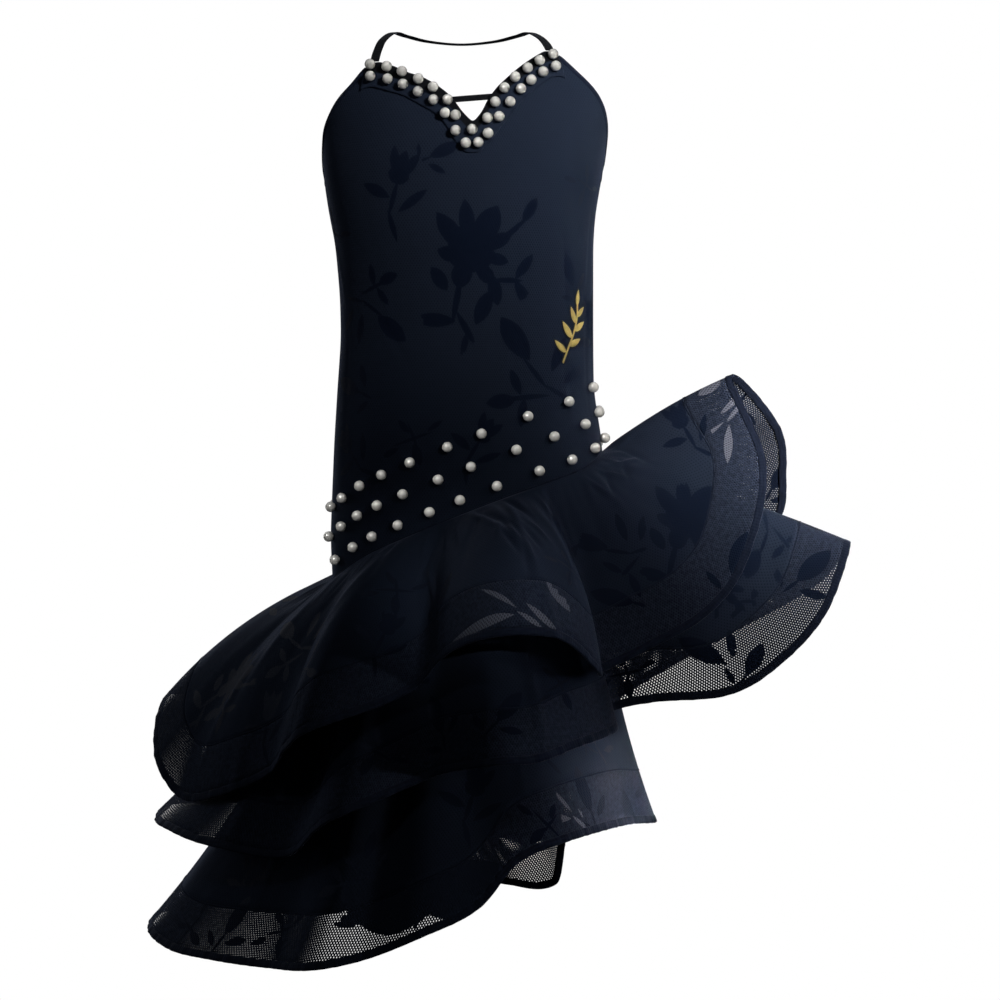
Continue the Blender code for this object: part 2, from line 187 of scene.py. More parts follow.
BODY = table(
    BodyRow,
    (20, 150, 150, 52, 60), (-20, 148, 148, 66, 68), (-60, 146, 147.5, 82, 76),
    (-95, 137, 138, 92, 82), (-130, 135, 131, 97, 84), (-172, 129, 123.5, 96, 82),
    (-200, 123, 121.5, 93, 79), (-250, 118.5, 121.5, 86, 73), (-290, 117.5, 121.5, 83, 71),
    (-340, 121, 122, 87, 79), (-390, 124, 130, 91, 90), (-440, 126, 131, 92, 95),
    (-480, 127.5, 131, 92, 95), (-530, 125, 130, 91, 94),
)
# Top edge of the front: underarm, armhole, strap corner, neckline and the V notch between.
FRONT_TOP = table(
    EdgeRow,
    (-90, -142), (-84, -120), (-78, -98), (-71, -84), (-65, -69.5), (-59.5, -57), (-55.5, -41),
    (-51, -38.5), (-43, -43.5), (-35, -50), (-26.5, -54.5), (-17.5, -62), (-10.5, -70),
    (-6.5, -76), (-0.5, -89), (5.3, -98.5), (10.5, -88.5), (14.5, -76), (20.5, -64.5), (26.5, -56),
    (35, -45), (42, -37), (50.5, -28), (55.5, -30), (61, -46), (67.5, -62), (73, -77), (79, -94),
    (84.5, -116), (90, -138),
)
BAND_LOWER_EDGE = table(
    EdgeRow,
    (-90, -165), (-78, -124), (-65, -94), (-55.5, -64), (-51, -62), (-35, -71.5), (-17.5, -88),
    (-10.5, -99), (-5.5, -114), (0.5, -126), (8.5, -126), (15.5, -113), (22.5, -98), (35, -73),
    (50.5, -51.5), (55.5, -52.5), (67.5, -88), (79, -120), (90, -162),
)
BACK_TOP = table(
    EdgeRow,
    (90, -138), (120, -147), (150, -160), (180, -166), (210, -162), (240, -151), (270, -142),
)
HIP_SEAM = table(
    EdgeRow,
    (-90, -521), (-72, -513), (-50, -492), (-20, -469), (19, -444), (60, -417.5), (90, -397.5),
    (120, -414), (160, -443), (200, -470), (245, -505),
)

# Pearls: azimuth and level of each on the neck band; azimuths of each row above the hip seam.
NECK_PEARLS = table(
    EdgeRow,
    (-53.3, -42.5), (-45.5, -45.5), (-37.3, -51), (-27.7, -58.5), (-18.6, -66.5), (-9.6, -78.5),
    (-4.6, -93), (-51.5, -54), (-43.3, -57.5), (-35.2, -63), (-26.6, -70.5), (-17.6, -78.5),
    (-10.6, -91), (-4.4, -107), (4.7, -106), (1.2, -118.5), (7.9, -118), (13.2, -95.5),
    (18.2, -80.5), (24.2, -67), (31, -56.5), (38.6, -47.5), (45.6, -39.8), (52.6, -33),
    (13.2, -109.5), (19.6, -94), (26.2, -80), (32.8, -67.5), (38.9, -58.8), (45.6, -50.5),
    (52, -44.5),
)
HIP_PEARL_RISES = (66, 39.5, 13)
FRONT_HIP_PEARLS = (
    (-77, -66.5, -55.5, -44, -29.5, -9.2, 10.2, 35.4, 57.5, 76),
    (-79, -66.5, -56.5, -46, -33, -14.2, 4.2, 28.8, 48, 65.5, 80),
    (-72, -59, -48.5, -35.4, -18.9, -2.1, 18.4, 40.2, 56.5, 71, 85),
)
BACK_HIP_PEARLS = (
    (104, 126, 148, 169, 191, 212, 234, 256),
    (97, 115, 137, 158.5, 180, 201.5, 223, 245, 263),
    (104, 126, 148, 169, 191, 212, 234, 256),
)

# Hems of the three tiers, from the left side round the front and the right side to the back.
UPPER_HEM = table(
    HemRow,
    (-106, 292, -633, 0.13), (-98, 299, -644, 0.13), (-89, 294, -690, 0.16),
    (-81, 271, -722, 0.18), (-68, 246, -716, 0.2), (-52, 222, -690, 0.16), (-36, 240, -650, 0.2),
    (-15, 172, -612, 0.06), (-3, 206, -577, 0.2), (9, 246, -561, 0.28), (22, 238, -567, 0.28),
    (35, 214, -598, 0.22), (45, 177, -600, 0.04), (56, 196, -583, 0.05), (68, 242, -549, 0.08),
    (77, 270, -499, 0.1), (85, 285, -410, 0.08), (91, 254, -325, 0.07), (100, 309, -373, 0.08),
    (106, 327, -415, 0.1), (113, 333, -468, 0.14), (134, 208, -545, 0.05), (153, 262, -560, 0.22),
    (171, 182, -592, 0.04), (192, 256, -602, 0.22), (212, 190, -632, 0.04), (232, 262, -642, 0.22),
    (244, 236, -656, 0.1),
)
MIDDLE_HEM = table(
    HemRow,
    (-100, 290, -738, -0.06), (-90, 295, -747, -0.08), (-80, 281, -751, -0.08),
    (-66, 258, -758, -0.05), (-48, 216, -764, -0.02), (-30, 228, -724, 0.02), (-11, 176, -692, 0),
    (6, 216, -676, 0.06), (18, 212, -674, 0.06), (31, 196, -664, 0.04), (44, 184, -658, 0),
    (52, 179, -652, -0.02), (57, 164, -638, -0.02), (62, 198, -629, 0), (68, 262, -622, 0.02),
    (75, 304, -594, 0.03), (82, 342, -548, 0.03), (89, 366, -484, 0.03), (98, 350, -520, 0.02),
    (113, 306, -566, 0.06), (131, 205, -640, 0), (150, 262, -650, 0.12), (170, 178, -678, 0),
    (190, 252, -688, 0.1), (211, 186, -716, 0), (230, 256, -724, 0.1), (245, 234, -740, 0),
)
LOWER_HEM = table(
    HemRow,
    (-102, 296, -842, -0.1), (-90, 302, -851, -0.1), (-78, 281, -861, -0.1),
    (-66, 254, -863, -0.1), (-50, 230, -863, -0.08), (-34, 236, -857, -0.04),
    (-24, 212, -848, -0.04), (-10, 204, -827, -0.04), (4, 190, -804, -0.08),
    (15, 178, -768, -0.08), (30, 174, -752, -0.08), (50, 164, -746, -0.08), (70, 166, -745, -0.1),
    (88, 182, -749, -0.1), (104, 168, -750, -0.1), (122, 176, -764, -0.08),
    (140, 162, -780, -0.08), (146, 172, -792, -0.08), (150.5, 180, -831, -0.06),
    (166, 176, -833, -0.06), (188, 226, -830, 0), (210, 184, -838, -0.06), (229, 252, -836, 0),
    (244, 232, -844, -0.06),
)
# Middle of the neck strap, from the left corner of the front round the nape to the right one.
STRAP = table(
    StrapRow,
    (-83, -63.5, -37.2), (-80.8, -50, -25.5), (-76.5, -35, -13), (-67.5, -10, -2), (-57, 20, 0),
    (-36, 46, -1), (-4, 57, -2), (28, 46, -1), (50, 20, 0), (60.5, -10, -2), (69.5, -33, -9.5),
    (75.5, -47, -17.5), (79.5, -60.5, -26.5),
)

# Each tier starts inside and below the one over it; gaps, widths of net and binding (mm); how far
# a fold of cloth bulges, as a share of its thickness; and when a direction counts as upright.
TIER_STEP_IN = 2.4
TIER_STEP_DOWN = 3.2
SEAM_GAP = 0.4
NET_WIDTH = 44.0
BINDING_WIDTH = 7.5
FOLD_SHARE = 0.3
NEARLY_UP = 0.9

# Folds of the bodice: drag lines under the arms, soft puckers over the hip seam (degrees, mm).
BODICE_FOLDS = table(
    Fold,
    (-84, 178, 24, 46, 5, -1.1), (-80, 205, 30, 52, 6, 0.8), (84, 172, -20, 48, 5, -1),
    (80, 214, -12, 70, 5.5, 0.8), (74, 262, -5, 84, 4.5, -0.8), (82, 300, 3, 66, 5, 0.7),
    (-70, 330, 12, 60, 8, -0.6), (-40, 300, 64, 44, 7, -0.5), (22, 318, -70, 52, 8, 0.5),
    (58, 352, -62, 40, 6, -0.5), (150, 330, 72, 60, 7, -0.9), (205, 318, -74, 66, 7, -0.9),
    (178, 352, 86, 74, 8, 0.8), (120, 240, 8, 80, 6, -0.6), (242, 262, -6, 72, 6, -0.6),
    (166, 214, 4, 46, 5, 0.5),
)
# Folds of the tiers: creases out of the hip seam, and slacker ones further down the cloth.
TIER_FOLDS = table(
    Fold,
    (-2, 34, 8, 26, 3.4, 1.7), (3.5, 46, -14, 34, 4, -1.9), (8, 38, 16, 26, 3.2, 1.8),
    (13, 52, 20, 36, 4.4, -2), (19, 44, -4, 30, 3.6, 1.7), (24.5, 36, 10, 24, 3.4, -1.5),
    (31, 60, 4, 34, 5, 1.8), (36.5, 74, -6, 42, 5, -1.9), (47, 40, 5, 28, 4, 1.3),
    (57, 52, -3, 40, 5, -1.3), (66, 36, 0, 30, 4, 1.4), (72, 48, 4, 44, 5, -1.6),
    (79, 34, 6, 30, 3.6, 1.7), (84.5, 52, 8, 44, 4.2, -1.7), (89, 38, -4, 34, 3.4, 1.6),
    (-14, 58, -8, 40, 5, 1.4), (-27, 46, -12, 40, 5, -1.4), (-41, 66, -18, 54, 6, 1.6),
    (-55, 60, -10, 48, 6, -1.3), (-68, 74, -6, 56, 6, 1.3), (-83, 62, 4, 50, 5, -1.4),
    (15.5, 76, 7, 17, 2.1, 2.3), (13.4, 90, 12, 19, 2, -1.9), (17.9, 98, 3, 21, 2.2, 2.1),
    (16.2, 119, -4, 16, 2, -1.6), (20.8, 82, 13, 15, 2.2, -1.8), (24.5, 68, 20, 14, 2.3, 1.7),
    (11.2, 68, -15, 14, 2.1, 1.7), (-12.5, 66, 16, 18, 2.4, 2), (-17, 48, -12, 16, 2.4, -1.7),
    (64, 24, 14, 13, 1.9, 1.8), (68.5, 28, -28, 13, 1.9, -1.7), (72.5, 22, 24, 12, 1.8, 1.9),
    (76.5, 30, -34, 13, 1.9, -1.9), (79.5, 24, 36, 12, 1.8, 2), (84, 30, -18, 14, 1.8, -1.8),
    (88, 22, 12, 13, 1.8, 1.8), (158, 70, 14, 34, 4, 1.6), (196, 62, -12, 30, 3.6, -1.6),
    (228, 74, 8, 36, 4.2, 1.5), (104, 60, 6, 40, 4.6, 1.6), (118, 48, -10, 30, 3.6, -1.7),
    (132, 82, 10, 44, 5, 1.6), (145, 52, -14, 26, 3.2, -1.6), (172, 56, -8, 34, 3.8, -1.8),
    (184, 92, 12, 40, 5, 1.7), (208, 58, 14, 28, 3.4, 1.7), (218, 96, -8, 42, 5, -1.6),
    (240, 56, -12, 32, 3.8, -1.6), (251, 84, 6, 40, 4.6, 1.6), (20, 190, 4, 60, 7, 1.6),
    (-40, 200, -6, 70, 8, -1.8), (-62, 240, 4, 60, 7, 1.8), (120, 180, 6, 60, 7, -1.6),
    (160, 200, 8, 56, 6, -1.6), (200, 180, -6, 60, 7, 1.7), (-20, 128, -10, 34, 4.6, 1.7),
    (-49, 122, 8, 38, 5, -1.7), (-75, 150, -5, 46, 6, 1.8), (232, 170, 7, 52, 6, -1.7),
)
# Small gathers all round the hip seam, uneven in spacing, length, width and height.
GATHER_SEED = 11
GATHER_STEP = 5.6
GATHER_SHIFT = 0.38
GATHER_DOWNS = (16.0, 30.0)
GATHER_TURNS = (-9.0, 9.0)
GATHER_LENGTHS = (12.0, 34.0)
GATHER_WIDTHS = (2.2, 4.0)
GATHER_HEIGHTS = (0.5, 1.25)

# The sprigs' blades, in units of 100 mm, each sprig round its own window of the design.
ROSE_BLADES = table(
    Blade,
    (0, 0.12, 82, 0.56, 0.46), (0.03, 0.02, 4, 0.52, 0.32), (-0.2, 0.3, 124, 0.5, 0.2),
    (-0.02, 0.42, 94, 0.44, 0.17), (0.19, 0.34, 60, 0.5, 0.27), (0.3, 0.18, 24, 0.34, 0.16),
    (0.29, -0.01, -16, 0.26, 0.13), (-0.22, 0.06, 158, 0.26, 0.16), (-0.09, -0.16, 74, 0.3, 0.22),
    (0.16, -0.16, -52, 0.28, 0.16), (-0.15, -0.42, 78, 0.58, 0.07),
    (-0.06, -0.74, 118, 0.46, 0.07), (-0.4, -0.64, 176, 0.46, 0.15), (0.13, -0.52, 64, 0.4, 0.17),
    (-0.08, -0.9, 74, 0.3, 0.07), (-0.33, -0.2, 122, 0.3, 0.15), (0.46, 0.28, 38, 0.46, 0.06),
    (0.66, 0.5, 58, 0.3, 0.12), (0.4, -0.24, -4, 0.34, 0.06), (0.58, -0.1, 52, 0.32, 0.11),
    (0.56, -0.4, -62, 0.36, 0.12), (0.26, -0.34, -80, 0.34, 0.15),
)
BRANCH_BLADES = table(
    Blade,
    (3.76, 0.34, 122, 0.6, 0.26), (3.98, -0.06, 128, 0.48, 0.06), (4.28, -0.3, 152, 0.46, 0.06),
    (4.3, 0.16, 62, 0.46, 0.14), (4.52, -0.06, 34, 0.42, 0.12), (3.86, -0.34, 4, 0.62, 0.06),
    (3.56, -0.38, 186, 0.34, 0.17), (3.74, -0.16, 108, 0.32, 0.11), (3.8, -0.52, 80, 0.34, 0.12),
)
TULIP_BLADES = table(
    Blade,
    (7.88, 0.44, 112, 0.42, 0.14), (8, 0.42, 91, 0.4, 0.18), (8.12, 0.43, 70, 0.42, 0.15),
    (8, 0.26, 0, 0.32, 0.26), (8.02, -0.06, 92, 0.52, 0.075), (8.12, -0.44, 124, 0.48, 0.085),
    (7.74, -0.04, 172, 0.46, 0.16), (8.3, -0.02, 54, 0.52, 0.13),
)
SPRIG_BLADES = table(
    Blade,
    (12, 0, 8, 0.84, 0.06), (12.02, 0.06, 102, 0.5, 0.06), (12.04, -0.3, -84, 0.42, 0.18),
    (11.88, 0.26, 122, 0.32, 0.12), (12.46, 0.16, 24, 0.34, 0.1), (11.54, -0.16, 196, 0.36, 0.12),
)
LEAF_BLADES = table(
    Blade,
    (16, 0.04, 88, 0.78, 0.3), (15.98, -0.48, 84, 0.4, 0.06), (16.3, -0.32, 34, 0.46, 0.15),
    (15.74, -0.52, 150, 0.36, 0.12),
)
# PALE leaves mark where the net is painted light, a lit backing seen through it.
PALE_BLADES = table(
    Blade,
    (19.7, 0.3, -42, 0.74, 0.09), (19.46, -0.12, 6, 0.94, 0.2), (20.42, -0.06, -38, 0.72, 0.13),
    (20.2, -0.14, -30, 0.52, 0.1), (20.74, 0.48, -48, 0.64, 0.24),
)
PATCH_BLADES = table(
    Blade,
    (23.7, 0.02, 12, 1.3, 0.62), (24.3, 0.04, -10, 1.34, 0.58), (24.02, -0.06, 2, 1.1, 0.74),
    (24.62, -0.16, 38, 0.6, 0.3), (23.34, -0.18, -34, 0.56, 0.28),
)
CLOTH_BLADES = ROSE_BLADES + BRANCH_BLADES + TULIP_BLADES + SPRIG_BLADES + LEAF_BLADES

# Sprigs placed one by one on each piece: azimuth, distance down, turn, size and window.
ROSE, BRANCH, TULIP, SPRIG, LEAF, PALE, PATCH = Window
FRONT_MOTIFS = table(
    Motif,
    (3.5, 223, 2, 0.86, ROSE), (42, 322, 0, 0.8, BRANCH), (6, 396, -34, 0.52, TULIP),
    (-37, 162, -20, 0.66, TULIP), (-54, 270, 196, 0.62, BRANCH), (-29, 388, 12, 0.5, SPRIG),
    (60, 232, 24, 0.42, LEAF), (-11, 124, -62, 0.4, LEAF), (80, 290, 14, 0.6, TULIP),
    (-80, 192, -30, 0.56, SPRIG), (-62, 404, 40, 0.54, TULIP), (66, 150, -24, 0.44, SPRIG),
    (-68, 338, 74, 0.5, LEAF),
)
BACK_MOTIFS = table(
    Motif,
    (182, 236, -6, 0.74, ROSE), (140, 318, 22, 0.74, BRANCH), (222, 322, -24, 0.62, TULIP),
    (196, 400, 10, 0.54, SPRIG), (116, 214, -32, 0.6, BRANCH), (248, 214, 26, 0.62, BRANCH),
    (150, 216, 40, 0.46, LEAF), (256, 396, -18, 0.6, ROSE), (216, 220, -40, 0.44, LEAF),
    (108, 366, 8, 0.52, SPRIG),
)
# Rows with PALE put painted light on the net, where a lit backing would show through.
UPPER_MOTIFS = table(
    Motif,
    (74, 106, -48, 0.82, ROSE), (59, 82, 22, 0.64, BRANCH), (54, 124, 62, 0.54, LEAF),
    (76.5, 162, -62, 0.62, LEAF), (87, 82, -70, 0.54, TULIP), (97, 136, 40, 0.62, SPRIG),
    (107, 196, 92, 0.5, LEAF), (58, 166, 150, 0.58, BRANCH), (40, 52, 8, 0.56, LEAF),
    (30, 108, -30, 0.46, SPRIG), (12, 170, -4, 0.52, PALE), (87.6, 121, -15, 0.42, PALE),
    (-25, 70, 10, 0.48, SPRIG), (-25, 122, -14, 0.52, TULIP), (-59, 92, 36, 0.62, BRANCH),
    (-57, 180, 6, 0.55, TULIP), (-6, 96, -34, 0.46, LEAF), (-42, 150, 66, 0.48, SPRIG),
    (-80, 136, -20, 0.62, ROSE),
)
MIDDLE_MOTIFS = table(
    Motif,
    (68, 204, 34, 0.62, LEAF), (72.5, 238, -64, 0.48, LEAF), (84.5, 226, -104, 0.62, LEAF),
    (84, 172, 62, 0.62, BRANCH), (75, 168, -30, 0.6, ROSE), (60, 190, -12, 0.46, SPRIG),
    (29, 186, 16, 0.5, SPRIG), (12, 204, -40, 0.48, LEAF), (-24, 214, -24, 0.5, SPRIG),
    (-61, 228, 80, 0.52, ROSE), (-8, 186, 24, 0.52, LEAF), (-42, 206, -4, 0.54, TULIP),
    (-78, 222, 40, 0.56, BRANCH), (46, 168, 40, 0.48, TULIP),
)
# Its PALE row puts painted light on the net.
LOWER_MOTIFS = table(
    Motif,
    (46, 280, 12, 0.58, LEAF), (27, 298, -58, 0.5, SPRIG), (-67, 268, 4, 0.52, ROSE),
    (-65, 332, -8, 0.56, LEAF), (-76, 350, 70, 0.5, SPRIG), (-31, 296, 22, 0.6, BRANCH),
    (2, 262, -20, 0.6, TULIP), (60, 236, -30, 0.54, BRANCH), (-47, 262, -30, 0.54, TULIP),
    (-50, 350, 14, 0.52, SPRIG), (30, 226, 10, 0.5, TULIP), (-20, 340, 4, 0.66, PATCH),
    (-3, 336, 14, 0.66, PATCH), (38, 297, -10, 0.46, PALE),
)
SPRIG_UNIT = 100.0
SPRIG_REACH = 1.25
OFF_DESIGN = -40.0

# Sprigs strewn over the tiers: rows (distance down, step in degrees) and how far each may stray.
SPRIG_SPACING = 86.0
SPRIG_ROWS = ((62, 34), (128, 27), (190, 24), (252, 22), (318, 22))
SPRIG_DEGREE = 3.6
SPRIG_SHIFT = 0.2
SPRIG_DROP = 9.0
SPRIG_TURN = 60.0
SPRIG_SIZES = (0.56, 0.74)

# Finishes: the edges and ragged outline of the blades, the net's strands, and the cloth's noises.
BLADE_SOFT = 0.0025
RAGGED_SCALE = 0.9
RAGGED = 0.012
TIED_BLADES = 5
TIE = (1e-6, 1e-6, 0.0)
STRAND_SLOPE = 0.62
STRAND_SOFT = 0.10
WEAVE_PITCH = 1.1
DRIFT = (9.0, 3.0)
CRUMPLE = (34.0, 3.0)
SHEEN_BLUE = (0.55, 0.66, 1.0, 1.0)
GLOSS_BLUE = (0.70, 0.80, 1.0, 1.0)
SHEEN = {"Sheen_Roughness": 0.38, "Sheen_Tint": SHEEN_BLUE}

WARM, WHITE = (1.0, 0.91, 0.83), (1.0, 0.96, 0.92)
SKIRT_MIDDLE = (0.0, 0.0, -0.45)
LAMPS = table(
    Lamp,
    ("front", (1.6, -2.4, 0.75), (0.195, -0.08, -0.01), 0.4, 1.10, 12, WHITE),
    ("right", (3.0, -1.4, 1.2), (0.40, 0.0, -0.32), 0.3, 0.36, 6, WARM),
    ("lobe", (1.9, -2.7, 0.5), (0.35, 0.0, -0.39), 0.15, 0.46, 6, WARM),
    ("tube", (1.2, -2.8, 0.1), (0.03, -0.2, -0.515), 0.10, 0.020, 3.4, WHITE),
    ("hem", (2.9, -1.0, -0.6), (0.17, -0.1, -0.74), 0.4, 0.15, 6, WARM),
    ("corner", (2.9, -1.0, -0.6), (0.165, -0.05, -0.74), 0.10, 0.21, 3.2, (1.0, 0.76, 0.60)),
    ("back", (-1.3, 2.9, 0.0), SKIRT_MIDDLE, 1.0, 46, 170, WHITE),
    ("far_right", (3.0, 1.3, 0.8), (0.1, 0.0, -0.45), 1.0, 52, 170, WHITE),
    ("far_left", (-3.0, 1.2, -0.2), SKIRT_MIDDLE, 1.0, 11, 170, WHITE),
    ("sparkle", (-0.9, -2.4, 1.6), (0.0, 0.0, -0.2), 0.25, 3.0, 170, (1.0, 1.0, 1.0), True),
    ("pearls", (-1.2, -2.6, 0.9), (0.09, 0.0, -0.48), 0.3, 0.56, 16, WHITE, True, "pearls"),
)


def column(rows: Sequence[NamedTuple], name: str) -> Array:
    """Return the numbers of one named column of a table."""
    return np.array([getattr(row, name) for row in rows], dtype=float)


def smooth_step(value: Array) -> Array:
    """Return 3t^2 - 2t^3 of the value cut to 0..1: 0 below 0, 1 above 1, level at both ends."""
    t = np.clip(value, 0.0, 1.0)
    return t * t * (3.0 - 2.0 * t)


def turn_from(azimuths: Any, middle: Any) -> Any:
    """Return the shorter turn from a middle to each azimuth, in -180..180 degrees."""
    return (azimuths - middle + TURN / 2) % TURN - TURN / 2


def degree_length(downs: Any) -> Any:
    """Return about how many mm a degree takes up, at distances down the cloth."""
    return 1.9 + 0.011 * np.maximum(downs, 0.0)


def running_length(steps: Array) -> Array:
    """Return the distance from the start to each point of a path whose steps are given."""
    return np.concatenate(([0.0], np.cumsum(steps)))


def step_lengths(path: Array) -> Array:
    """Return the lengths of the steps between the points of an open path."""
    return np.linalg.norm(np.diff(path, axis=0), axis=-1)


def ring_lengths(path: Array) -> Array:
    """Return the lengths of the steps of a closed path, the last one back to its start."""
    return np.linalg.norm(np.diff(path, axis=0, append=path[:1]), axis=1)


def hermite(t: Array, a: Array, b: Array, u: Array, v: Array) -> Array:
    """Return a (1 + 2t)(1 - t)^2 + b t^2 (3 - 2t) + u t (1 - t)^2 - v t^2 (1 - t)."""
    first = a * (1 + 2 * t) * (1 - t) ** 2 + b * t * t * (3 - 2 * t)
    return first + u * t * (1 - t) ** 2 - v * t * t * (1 - t)


def closed_curve(rows: Sequence[NamedTuple], name: str, azimuths: Array) -> Array:
    """Read a column of a table that closes round the body, along a smooth curve.

    Between two rows the curve is a cubic Hermite, and its slope at a row is that of the line
    between the row's neighbours.

    Args:
        rows: the table, in order of azimuth.
        name: the column's name.
        azimuths: where to read it (degrees).

    Returns:
        The values there.
    """
    azimuth, value = column(rows, "azimuth"), column(rows, name)
    knots = np.concatenate((azimuth[-2:] - TURN, azimuth, azimuth[:3] + TURN))
    values = np.concatenate((value[-2:], value, value[:3]))
    slopes = np.zeros_like(values)
    slopes[1:-1] = (values[2:] - values[:-2]) / (knots[2:] - knots[:-2])
    wrapped = (np.asarray(azimuths, dtype=float) - azimuth[0]) % TURN + azimuth[0]
    index = np.searchsorted(knots, wrapped, side="right") - 1
    width = knots[index + 1] - knots[index]
    t = (wrapped - knots[index]) / width
    return hermite(t, values[index], values[index + 1], width * slopes[index],
                   width * slopes[index + 1])


def edge_level(rows: Sequence[EdgeRow], azimuths: Array, rounding: float = 1.7) -> Array:
    """Read the level of an open edge: straight between its rows, with its corners rounded off.

    The level is the weighted mean of five readings spread over the rounding to each side, which
    draws in to nothing at the edge's two ends.

    Args:
        rows: the edge.
        azimuths: where to read it (degrees).
        rounding: the spread of the readings (degrees).

    Returns:
        The levels (mm).
    """
    knots, levels = column(rows, "azimuth"), column(rows, "level")
    room = np.clip(np.minimum(azimuths - knots[0], knots[-1] - azimuths), 0.0, rounding)
    weights = (1.0, 2.0, 2.0, 2.0, 1.0)
    steps = (-1.0, -0.5, 0.0, 0.5, 1.0)
    readings = [w * np.interp(azimuths + s * room, knots, levels) for w, s in zip(weights, steps)]
    return sum(readings) / sum(weights)


def place(azimuths: Array, radii: Array, levels: Array) -> Array:
    """Turn azimuth, radius and level into points (mm): x = r sin a, y = -r cos a, z = level."""
    angle = np.radians(azimuths)
    return np.stack((radii * np.sin(angle), -radii * np.cos(angle), levels + 0.0 * radii), axis=-1)


def unit(vectors: Array) -> Array:
    """Return the vectors at length 1."""
    return vectors / np.linalg.norm(vectors, axis=-1, keepdims=True)


def between(start: Array, end: Array, rows: int) -> Array:
    """Return rows of distances in even steps from the start to the end of each column."""
    return start + (end - start) * np.linspace(0.0, 1.0, rows)[:, None]


class Surface:
    """A cloth surface over azimuth (degrees) and distance down it (mm), with its folds.

    It is held flat as far down as held_down, and its folds grow over the quiet strip below.
    """

    folds: Sequence[Fold] = ()
    held_down: float = 0.0
    quiet: float = 14.0
    probe_round: float = 0.4
    probe_down: float = 0.8

    def bare(self, azimuths: Array, downs: Array) -> Array:
        """Return the surface's points without folds (mm)."""
        raise NotImplementedError

    def normals(self, azimuths: Array, downs: Array) -> Array:
        """Return the outward normals: the cross product of the steps down and round, at length 1.

        Args:
            azimuths: one a column (degrees).
            downs: distances down the cloth (mm).

        Returns:
            The normals.
        """
        aside, below = self.probe_round, self.probe_down
        across = self.bare(azimuths + aside, downs) - self.bare(azimuths - aside, downs)
        along = self.bare(azimuths, downs + below) - self.bare(azimuths, downs - below)
        return unit(np.cross(along, across))

    def lift(self, azimuths: Array, downs: Array) -> Array:
        """Return how far the folds stand out.

        Each fold is a bell across its line times a bell along it: height * exp(-(across/width)^2
        - (along/length)^2), and all of them fade to nothing within the quiet strip at the seam.

        Args:
            azimuths: one a column (degrees).
            downs: distances down the cloth (mm).

        Returns:
            The distances out from the bare surface (mm).
        """
        total = np.zeros(np.broadcast(azimuths, downs).shape)
        spread = degree_length(downs)
        for fold in self.folds:
            beside = turn_from(azimuths, fold.azimuth) * spread
            below = downs - fold.down
            turn = np.radians(fold.turn)
            along = below * np.cos(turn) + beside * np.sin(turn)
            across = beside * np.cos(turn) - below * np.sin(turn)
            bells = (across / fold.width) ** 2 + (along / fold.length) ** 2
            total += fold.height * np.exp(-bells)
        return total * smooth_step((downs - self.held_down) / self.quiet)

    def points(self, azimuths: Array, downs: Array, out: float | Array = 0.0) -> Array:
        """Return the surface's points (mm), out along its normals by its folds and a distance."""
        height = self.lift(azimuths, downs) + out
        return self.bare(azimuths, downs) + self.normals(azimuths, downs) * height[..., None]

    def directions(self, azimuth: float, down: float) -> tuple[Array, Array, Array]:
        """Return a place on the surface with its directions to the right and up the cloth.

        Args:
            azimuth: of the place (degrees).
            down: distance down the cloth (mm).

        Returns:
            The place (mm) and the two directions at length 1.
        """
        spot = np.array([float(azimuth)]), np.array([float(down)])
        origin = self.points(*spot)[0]
        normal = self.normals(*spot)[0]
        above = self.bare(spot[0], spot[1] - 2.0)[0] - self.bare(spot[0], spot[1] + 2.0)[0]
        right = unit(np.cross(above, normal))
        return origin, right, np.cross(normal, right)


@dataclass
class Figure(Surface):
    """The figure that the bodice follows: a superellipse with its own half-axes at each level."""

    rows: Sequence[BodyRow] = BODY
    folds: Sequence[Fold] = BODICE_FOLDS
    roundness: float = 2.2
    smoothing: float = 26.0
    step: float = 2.0
    held_down: float = 60.0
    levels: Array = field(init=False)
    axes: dict[str, Array] = field(init=False)

    def __post_init__(self) -> None:
        """Smooth each column of half-axes over its levels with a cosine-weighted mean."""
        order = np.argsort(column(self.rows, "level"))
        heights = column(self.rows, "level")[order]
        self.levels = np.arange(heights[0], heights[-1] + self.step / 2, self.step)
        steps = np.arange(-self.smoothing, self.smoothing + self.step / 2, self.step)
        weights = 1.0 + np.cos(np.pi * steps / self.smoothing)
        self.axes = {
            name: sum(
                w * np.interp(self.levels + s, heights, column(self.rows, name)[order])
                for w, s in zip(weights, steps)
            ) / weights.sum()
            for name in BodyRow._fields[1:]
        }

    def radius(self, azimuths: Array, levels: Array) -> Array:
        """Return the figure's radius: (|sin a / side|^n + |cos a / depth|^n)^(-1/n).

        Args:
            azimuths: where to take it (degrees).
            levels: the level of each (mm).

        Returns:
            The radii (mm).
        """
        left, right, front, back = (
            np.interp(levels, self.levels, self.axes[name]) for name in BodyRow._fields[1:]
        )
        angle = np.radians(azimuths)
        side = np.sin(angle) / np.where(np.sin(angle) < 0.0, left, right)
        depth = np.cos(angle) / np.where(np.cos(angle) < 0.0, back, front)
        power = self.roundness
        return (np.abs(side) ** power + np.abs(depth) ** power) ** (-1.0 / power)

    def bare(self, azimuths: Array, downs: Array) -> Array:
        """Return points of the figure, whose distance down is simply below level 0."""
        levels = -np.asarray(downs, dtype=float)
        return place(azimuths, self.radius(azimuths, levels), levels)


def hip_seam(azimuths: Array) -> Array:
    """Return the level of the slanting hip seam (mm)."""
    return closed_curve(HIP_SEAM, "level", azimuths)


